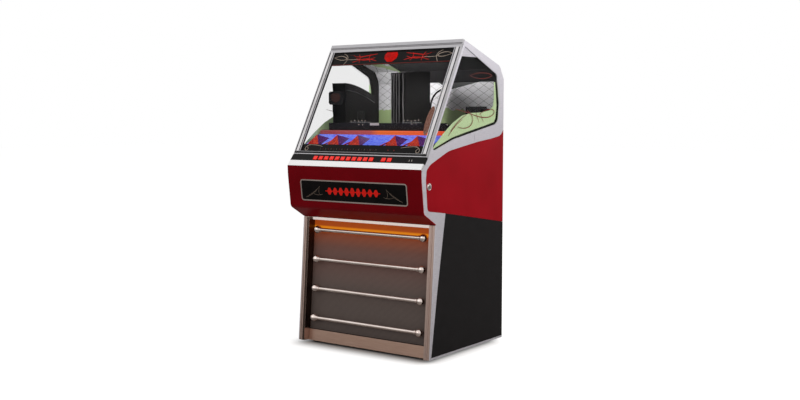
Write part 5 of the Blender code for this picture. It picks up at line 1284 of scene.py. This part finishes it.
def make_recess_cheeks():
    """Sheets on the inner faces of the two stiles, painted deep brown and glossy as the reflection of the
    dark recess in polished steel.
    """
    middle = (CHEEK_LOW + CHEEK_HIGH) / 2
    height = CHEEK_HIGH - CHEEK_LOW
    cheeks = []
    for side in (-1.0, 1.0):
        cheeks.append(strip(side * CHEEK_ACROSS, middle, CHEEK_THICKNESS, height, CHEEK_DEPTH))
    settle(join(cheeks), "recess_cheeks", "cheek", "cabinet", on_lower_front(-CHEEK_SINK))


def make_stile_painted_reflection():
    """Sheet on the left stile's front, painted deep brown as the reflection of the recess in its polished
    steel.
    """
    facing = strip(STILE_REFLECTION_ACROSS, CHEEK_HIGH / 2, STILE_REFLECTION_WIDTH, CHEEK_HIGH - 2 * PRINT_THICKNESS)
    settle(facing, "stile_facing", "cheek", "cabinet", on_lower_front(PRINT_THICKNESS / 2))


# Inside

TITLE_PEAKS = (-0.1945, -0.0660, 0.1570, 0.2855)
TITLE_STRIPS = {
    "title_red_strips": ("ink_red", -0.062),
    "title_dark_strips": ("ink_black", -0.054),
}
TITLE_STRIP_FOOT = (-0.022, 0.006)
TITLE_STRIP_HEAD = (0.030, 0.112)
TITLE_STRIP_WIDTH = 0.006
TITLE_STRIP_DEPTH = 0.0015
TITLE_STRIP_LIFT = 0.0002


def make_title_details():
    """Slanted red and dark strips beside each block of the title display."""
    place = leaning(TITLE_FOOT, TITLE_HEAD, 0.0, 0.0, TITLE_STRIP_DEPTH + TITLE_STRIP_LIFT)
    for name, (finish, shift) in TITLE_STRIPS.items():
        strips = []
        for peak in TITLE_PEAKS:
            foot = peak + shift + TITLE_STRIP_FOOT[0]
            head = peak + shift + TITLE_STRIP_HEAD[0]
            outline = [(foot, TITLE_STRIP_FOOT[1]), (foot + TITLE_STRIP_WIDTH, TITLE_STRIP_FOOT[1]),
                       (head + TITLE_STRIP_WIDTH, TITLE_STRIP_HEAD[1]), (head, TITLE_STRIP_HEAD[1])]
            strips.append(cut_sheet(outline, TITLE_STRIP_DEPTH))
        settle(join(strips), name, finish, "cabinet", place)


DECK_EDGE = -0.1170
CLIP_RUNS = ((-0.190, 9), (0.130, 8))
CLIP_PITCH = 0.014
CLIP_SIZE = (0.0060, 0.0060, 0.0050)
CLIP_Z = 1.1015
HOLDER_PLACE = (-0.045, DECK_EDGE, 1.0930)
HOLDER_SIZE = (0.055, 0.008, 0.012)


def make_deck_parts():
    """Small bright clips along the front of the deck and a pale label holder."""
    clips = []
    for start, count in CLIP_RUNS:
        for i in range(count):
            clips.append(block((start + CLIP_PITCH * i, DECK_EDGE, CLIP_Z), CLIP_SIZE, edge=0.0006))
    settle(join(clips), "deck_clips", "turned", "cabinet")
    holder = block(HOLDER_PLACE, HOLDER_SIZE, edge=0.0012)
    # The white ink's glow is painted light on this holder
    settle(holder, "deck_label_holder", "ink_white", "cabinet")


PIN_FACE = -0.1200
PIN_RADIUS = 0.0028
PIN_LENGTH = 0.0060
PIN_PLACES = [(-0.189, 1.107), (-0.167, 1.110), (-0.143, 1.107), (-0.121, 1.110), (-0.101, 1.108),
              (-0.140, 1.090), (-0.116, 1.089), (0.135, 1.110), (0.156, 1.112), (0.177, 1.108),
              (0.199, 1.111), (0.219, 1.113), (0.181, 1.094), (0.206, 1.095)]


def make_deck_pins():
    """Bright guide pins along the front edge of the deck."""
    pins = [pin((x, PIN_FACE, z), PIN_RADIUS, PIN_LENGTH, sides=14, edge=0.0008) for x, z in PIN_PLACES]
    settle(join(pins), "deck_pins", "chrome", "cabinet")


BLOCK_FOOT = (-0.0925, 1.2230)
BLOCK_HEAD = (-0.0925, 1.3230)
BLOCK_ACROSS = -0.3030
PLATE_OUTLINE = [(-0.045, -0.024), (-0.038, -0.033), (0.038, -0.033), (0.045, -0.024),
                 (0.045, 0.024), (0.038, 0.033), (-0.038, 0.033), (-0.045, 0.024)]
PLATE_THICKNESS = 0.0120
FIELD_OUTLINE = [(-0.031, 0.012), (-0.018, 0.023), (0.018, 0.023), (0.031, 0.012), (0.026, -0.012),
                 (0.0, -0.024), (-0.026, -0.012)]
FIELD_THICKNESS = 0.0008


def make_rack_plate():
    """Bare black plate with clipped corners and a brown field, on the front of the left rack."""
    plate = cut_sheet(PLATE_OUTLINE, PLATE_THICKNESS)
    settle(plate, "rack_plate", "stoved", "cabinet",
           leaning(BLOCK_FOOT, BLOCK_HEAD, BLOCK_ACROSS, 0.0, PLATE_THICKNESS))
    field = cut_sheet(FIELD_OUTLINE, FIELD_THICKNESS)
    settle(field, "rack_plate_field", "ink_brown", "cabinet",
           leaning(BLOCK_FOOT, BLOCK_HEAD, BLOCK_ACROSS, 0.0, PLATE_THICKNESS + FIELD_THICKNESS))


LABEL_PLACE = (PLAYER_X + 0.0020, PLAYER_Y, PLAYER_Z)
LABEL_RADIUS = 0.0440
LABEL_BORE = 0.0200
LABEL_THICKNESS = 0.00015


def make_record_label():
    """Paper label of the record that is played."""
    label = washer(LABEL_PLACE, LABEL_RADIUS, LABEL_BORE, -LABEL_THICKNESS)
    settle(label, "record_label", "ink_maroon", "turntable_unit")


BAY_HALF = 0.3700
LINING = [(0.3480, 1.3060), (0.3110, 1.3665), (0.1500, 1.4205)]
LINING_END = -0.2050
LINING_GAP = 0.0010
DARK_SHEET_FRONT = (-0.0050, 1.4725)


def make_ceiling():
    """Printed lining that carries the back's pattern up under the roof, and a black bent sheet beside it."""
    lining = bent_sheet(LINING, -BAY_HALF, LINING_END)
    settle(lining, "roof_lining", "lattice", "cabinet")
    dark_sheet = bent_sheet(LINING[:2] + [DARK_SHEET_FRONT], LINING_END + LINING_GAP, BAY_HALF)
    settle(dark_sheet, "roof_hood", "stoved", "cabinet")


DRIVE_LEAD = [(0.057, 0.215, 1.095), (0.057, 0.215, 1.138), (0.055, 0.215, 1.181), (0.062, 0.220, 1.221),
              (0.076, 0.240, 1.254), (0.096, 0.275, 1.273), (0.106, 0.320, 1.280), (0.100, 0.343, 1.280)]
LEAD_RADIUS = 0.0045


def make_drive_lead():
    """Lead of the drive, from the deck up to the printed board at the back."""
    settle(tube(DRIVE_LEAD, LEAD_RADIUS), "drive_lead", "seal", "cabinet")


# Each rib's place across, and its share of the sway
RIBS = ((0.018, 1.0), (0.031, 1.0), (0.047, 1.0), (0.060, -0.6), (0.083, -0.6))
RIB_FACE = -0.0605
RIB_LOW = 1.072
RIB_LENGTH = 0.266
RIB_RADIUS = 0.0026
RIB_SWAY = 0.0035
RIB_STEPS = 8
LIP_FRONT = -0.078
LIP_LENGTH = 0.225
LIP_TOP = 1.262
LIP_DROP = 0.060
LIP_RADIUS = 0.0022
LIP_STEPS = 5
LEFT_BLOCK_SIDE = -0.2500
SIDE_PLATE_PLACE = (LEFT_BLOCK_SIDE, 0.034, 1.135)
SIDE_PLATE_SIZE = (0.004, 0.058, 0.044)


def make_rack_details():
    """Wavy front ribs of the right rack, and the lip and recess plate of the left one."""
    ribs = []
    for across, swaying in RIBS:
        points = []
        for step in range(RIB_STEPS + 1):
            share = step / RIB_STEPS
            sway = RIB_SWAY * math.sin(2.0 * math.pi * share) ** 2 * swaying
            points.append((across - sway, RIB_FACE, RIB_LOW + RIB_LENGTH * share))
        ribs.append(tube(points, RIB_RADIUS))
    settle(join(ribs), "rack_right_ribs", "rib", "cabinet")
    lip = []
    for step in range(LIP_STEPS + 1):
        share = step / LIP_STEPS
        lip.append((LEFT_BLOCK_SIDE, LIP_FRONT + LIP_LENGTH * share, LIP_TOP - LIP_DROP * share ** 1.7))
    settle(tube(lip, LIP_RADIUS), "rack_left_lip", "rib", "cabinet")
    plate = block(SIDE_PLATE_PLACE, SIDE_PLATE_SIZE, edge=0.0014)
    settle(plate, "rack_left_plate", "rib_dark", "cabinet")


# Back

COVER_FACE = 0.3575
COVER_BACK = 0.3600
SCREW_RISE = 0.0014
SCREW_RADIUS = 0.0045
SCREW_COLUMNS = (-0.375, -0.125, 0.125, 0.375)
SCREW_ROWS = (0.040, 0.520, 1.000)
VENT_COLUMNS = (-0.175, 0.175)
VENT_ROWS = ((0.080, 0.290), (0.655, 0.870))
FILTER_Y = 0.3500
FILTER_WIDTH = 0.270
FILTER_THICKNESS = 0.0060


def make_service_cover():
    """Rear cover pressed a little thinner, so that its screws stand inside the cabinet's depth."""
    cover = merged_copy("service_cover")
    select_parts(cover, "VERT", lambda corner: corner.co.y > COVER_FACE)
    bpy.ops.transform.translate(value=(0.0, -SCREW_RISE, 0.0))
    bpy.ops.object.mode_set(mode="OBJECT")
    settle(cover, "rear_cover", "stoved", "cabinet")
    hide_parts("service_cover")
    heads = []
    for x in SCREW_COLUMNS:
        for z in SCREW_ROWS:
            # The middle row has screws at its ends only
            if x in SCREW_COLUMNS[1:3] and z == SCREW_ROWS[1]:
                continue
            centre = (x, COVER_BACK - SCREW_RISE / 2, z)
            heads.append(pin(centre, SCREW_RADIUS, SCREW_RISE, sides=20, edge=0.0004))
    settle(join(heads), "cover_screws", "turned", "cabinet")


def make_vent_filters():
    """Black foam dust filters behind the rear cover's slots."""
    pads = []
    for x in VENT_COLUMNS:
        for low_z, high_z in VENT_ROWS:
            size = (FILTER_WIDTH, FILTER_THICKNESS, high_z - low_z)
            pads.append(block((x, FILTER_Y, (low_z + high_z) / 2), size, edge=0.0020))
    settle(join(pads), "vent_filters", "foam", "cabinet")


make_door_prints()
make_glass_seal()
make_window_prints()
make_gussets()
make_band_lap()
make_grille_bars()
make_plaque_art()
make_display()
make_title_details()
make_deck_parts()
make_deck_pins()
make_rack_plate()
make_record_label()
make_kick_plate()
make_recess_cheeks()
make_stile_painted_reflection()
make_lock_rose()
make_service_cover()
make_vent_filters()
make_door_trims()
make_ceiling()
make_drive_lead()
make_rack_details()


# Floor, light and camera

FLOOR_SIZE = 60.0
FLOOR_LIFT = 0.86
FOOT_HALF_WIDTH = 0.330
FOOT_HALF_DEPTH = 0.240
SHADOW_REACH = 0.150
WORLD_LIGHT = 0.34
WORLD_SHINE = 0.92

# Each lamp's place, target, width, watts and colour
LAMPS = {
    "key": ((4.4, 0.3, 2.4), (0.4, 0.0, 0.8), 2.4, 120.0, "#FFFAF5"),
    "fill": ((-1.2, -4.4, 2.4), (0.0, -0.3, 0.7), 2.4, 15.0, "#FFF6F0"),
    "back": ((0.5, 3.4, 3.4), (0.0, 0.0, 1.1), 3.6, 60.0, "#FFFFFF"),
    "bay": ((0.0, -0.03, 1.405), (0.0, 0.36, 1.18), 0.12, 2.6, "#FFFFFF"),
}

CAMERA_PLACE = (3.0519, -4.1558, 1.1283)
CAMERA_AZIMUTH = 36.096
CAMERA_PITCH = 4.575
CAMERA_LENS = 46.72


def make_floor():
    """Plain pale floor, lifted to white away from the cabinet's foot; near the foot the lift fades out as
    painted shade, and the floor keeps its shadow.
    """
    bpy.ops.object.select_all(action="DESELECT")
    bpy.ops.mesh.primitive_plane_add(size=FLOOR_SIZE, location=(0.0, 0.0, 0.0))
    floor = bpy.context.object
    floor.name = "floor"
    finish = Finish("painted_floor", "#B0AEAC", 0.9, Specular_IOR_Level=0.0, Emission_Color=linear("#FFFFFF"))
    apart = finish.axes(finish.place)
    past = []
    for axis, half in (("X", FOOT_HALF_WIDTH), ("Y", FOOT_HALF_DEPTH)):
        over = finish.compute("SUBTRACT", finish.compute("ABSOLUTE", apart[axis]), half)
        past.append(finish.compute("MAXIMUM", over, 0.0))
    corner = finish.add("CombineXYZ", X=past[0], Y=past[1], Z=0.0).outputs[0]
    away = finish.add("VectorMath", {"operation": "LENGTH"}, i0=corner).outputs["Value"]
    # Painted shade: the white lift fades out towards the foot, so the floor round the cabinet is darker under
    # any light
    fade = finish.add("MapRange", {"interpolation_type": "SMOOTHSTEP"}, Value=away, From_Min=0.0,
                      From_Max=SHADOW_REACH, To_Min=0.0, To_Max=FLOOR_LIFT)
    seen = finish.add("LightPath").outputs["Is Camera Ray"]
    finish.feed(finish.compute("MULTIPLY", seen, fade.outputs[0]), "Emission Strength")
    floor.data.materials.append(finish.material)


def make_world():
    """Even surroundings: white behind the cabinet, softer as light and in reflections."""
    world = bpy.data.worlds.new("studio")
    bpy.context.scene.world = world
    world.use_nodes = True
    tree = world.node_tree
    background = tree.nodes["Background"]
    background.inputs["Color"].default_value = linear("#FFFFFF")
    path = add_node(tree, "LightPath").outputs
    shine = add_node(tree, "MapRange", Value=path["Is Glossy Ray"], To_Min=WORLD_LIGHT, To_Max=WORLD_SHINE)
    seen = add_node(tree, "Math", {"operation": "MAXIMUM"}, i0=path["Is Camera Ray"],
                    i1=path["Is Transmission Ray"])
    strength = add_node(tree, "Math", {"operation": "MAXIMUM"}, i0=seen.outputs[0], i1=shine.outputs[0])
    tree.links.new(strength.outputs[0], background.inputs["Strength"])


def add_lamp(name, place, target, width, watts, colour):
    """A soft square lamp that faces a point."""
    bpy.ops.object.light_add(type="AREA", location=place)
    lamp = bpy.context.object
    lamp.name = name
    lamp.data.size = width
    lamp.data.energy = watts
    lamp.data.color = linear(colour)[:3]
    lamp.rotation_euler = (Vector(target) - Vector(place)).to_track_quat("-Z", "Y").to_euler()


make_floor()
make_world()
for lamp_name, lamp_values in LAMPS.items():
    add_lamp(lamp_name, *lamp_values)

bpy.ops.object.camera_add(location=CAMERA_PLACE,
                          rotation=(math.radians(90.0 - CAMERA_PITCH), 0.0, math.radians(CAMERA_AZIMUTH)))
camera = bpy.context.object
camera.data.lens = CAMERA_LENS
camera.data.sensor_width = 36.0
camera.data.dof.use_dof = False
bpy.context.scene.camera = camera
bpy.context.scene.view_settings.view_transform = "Standard"
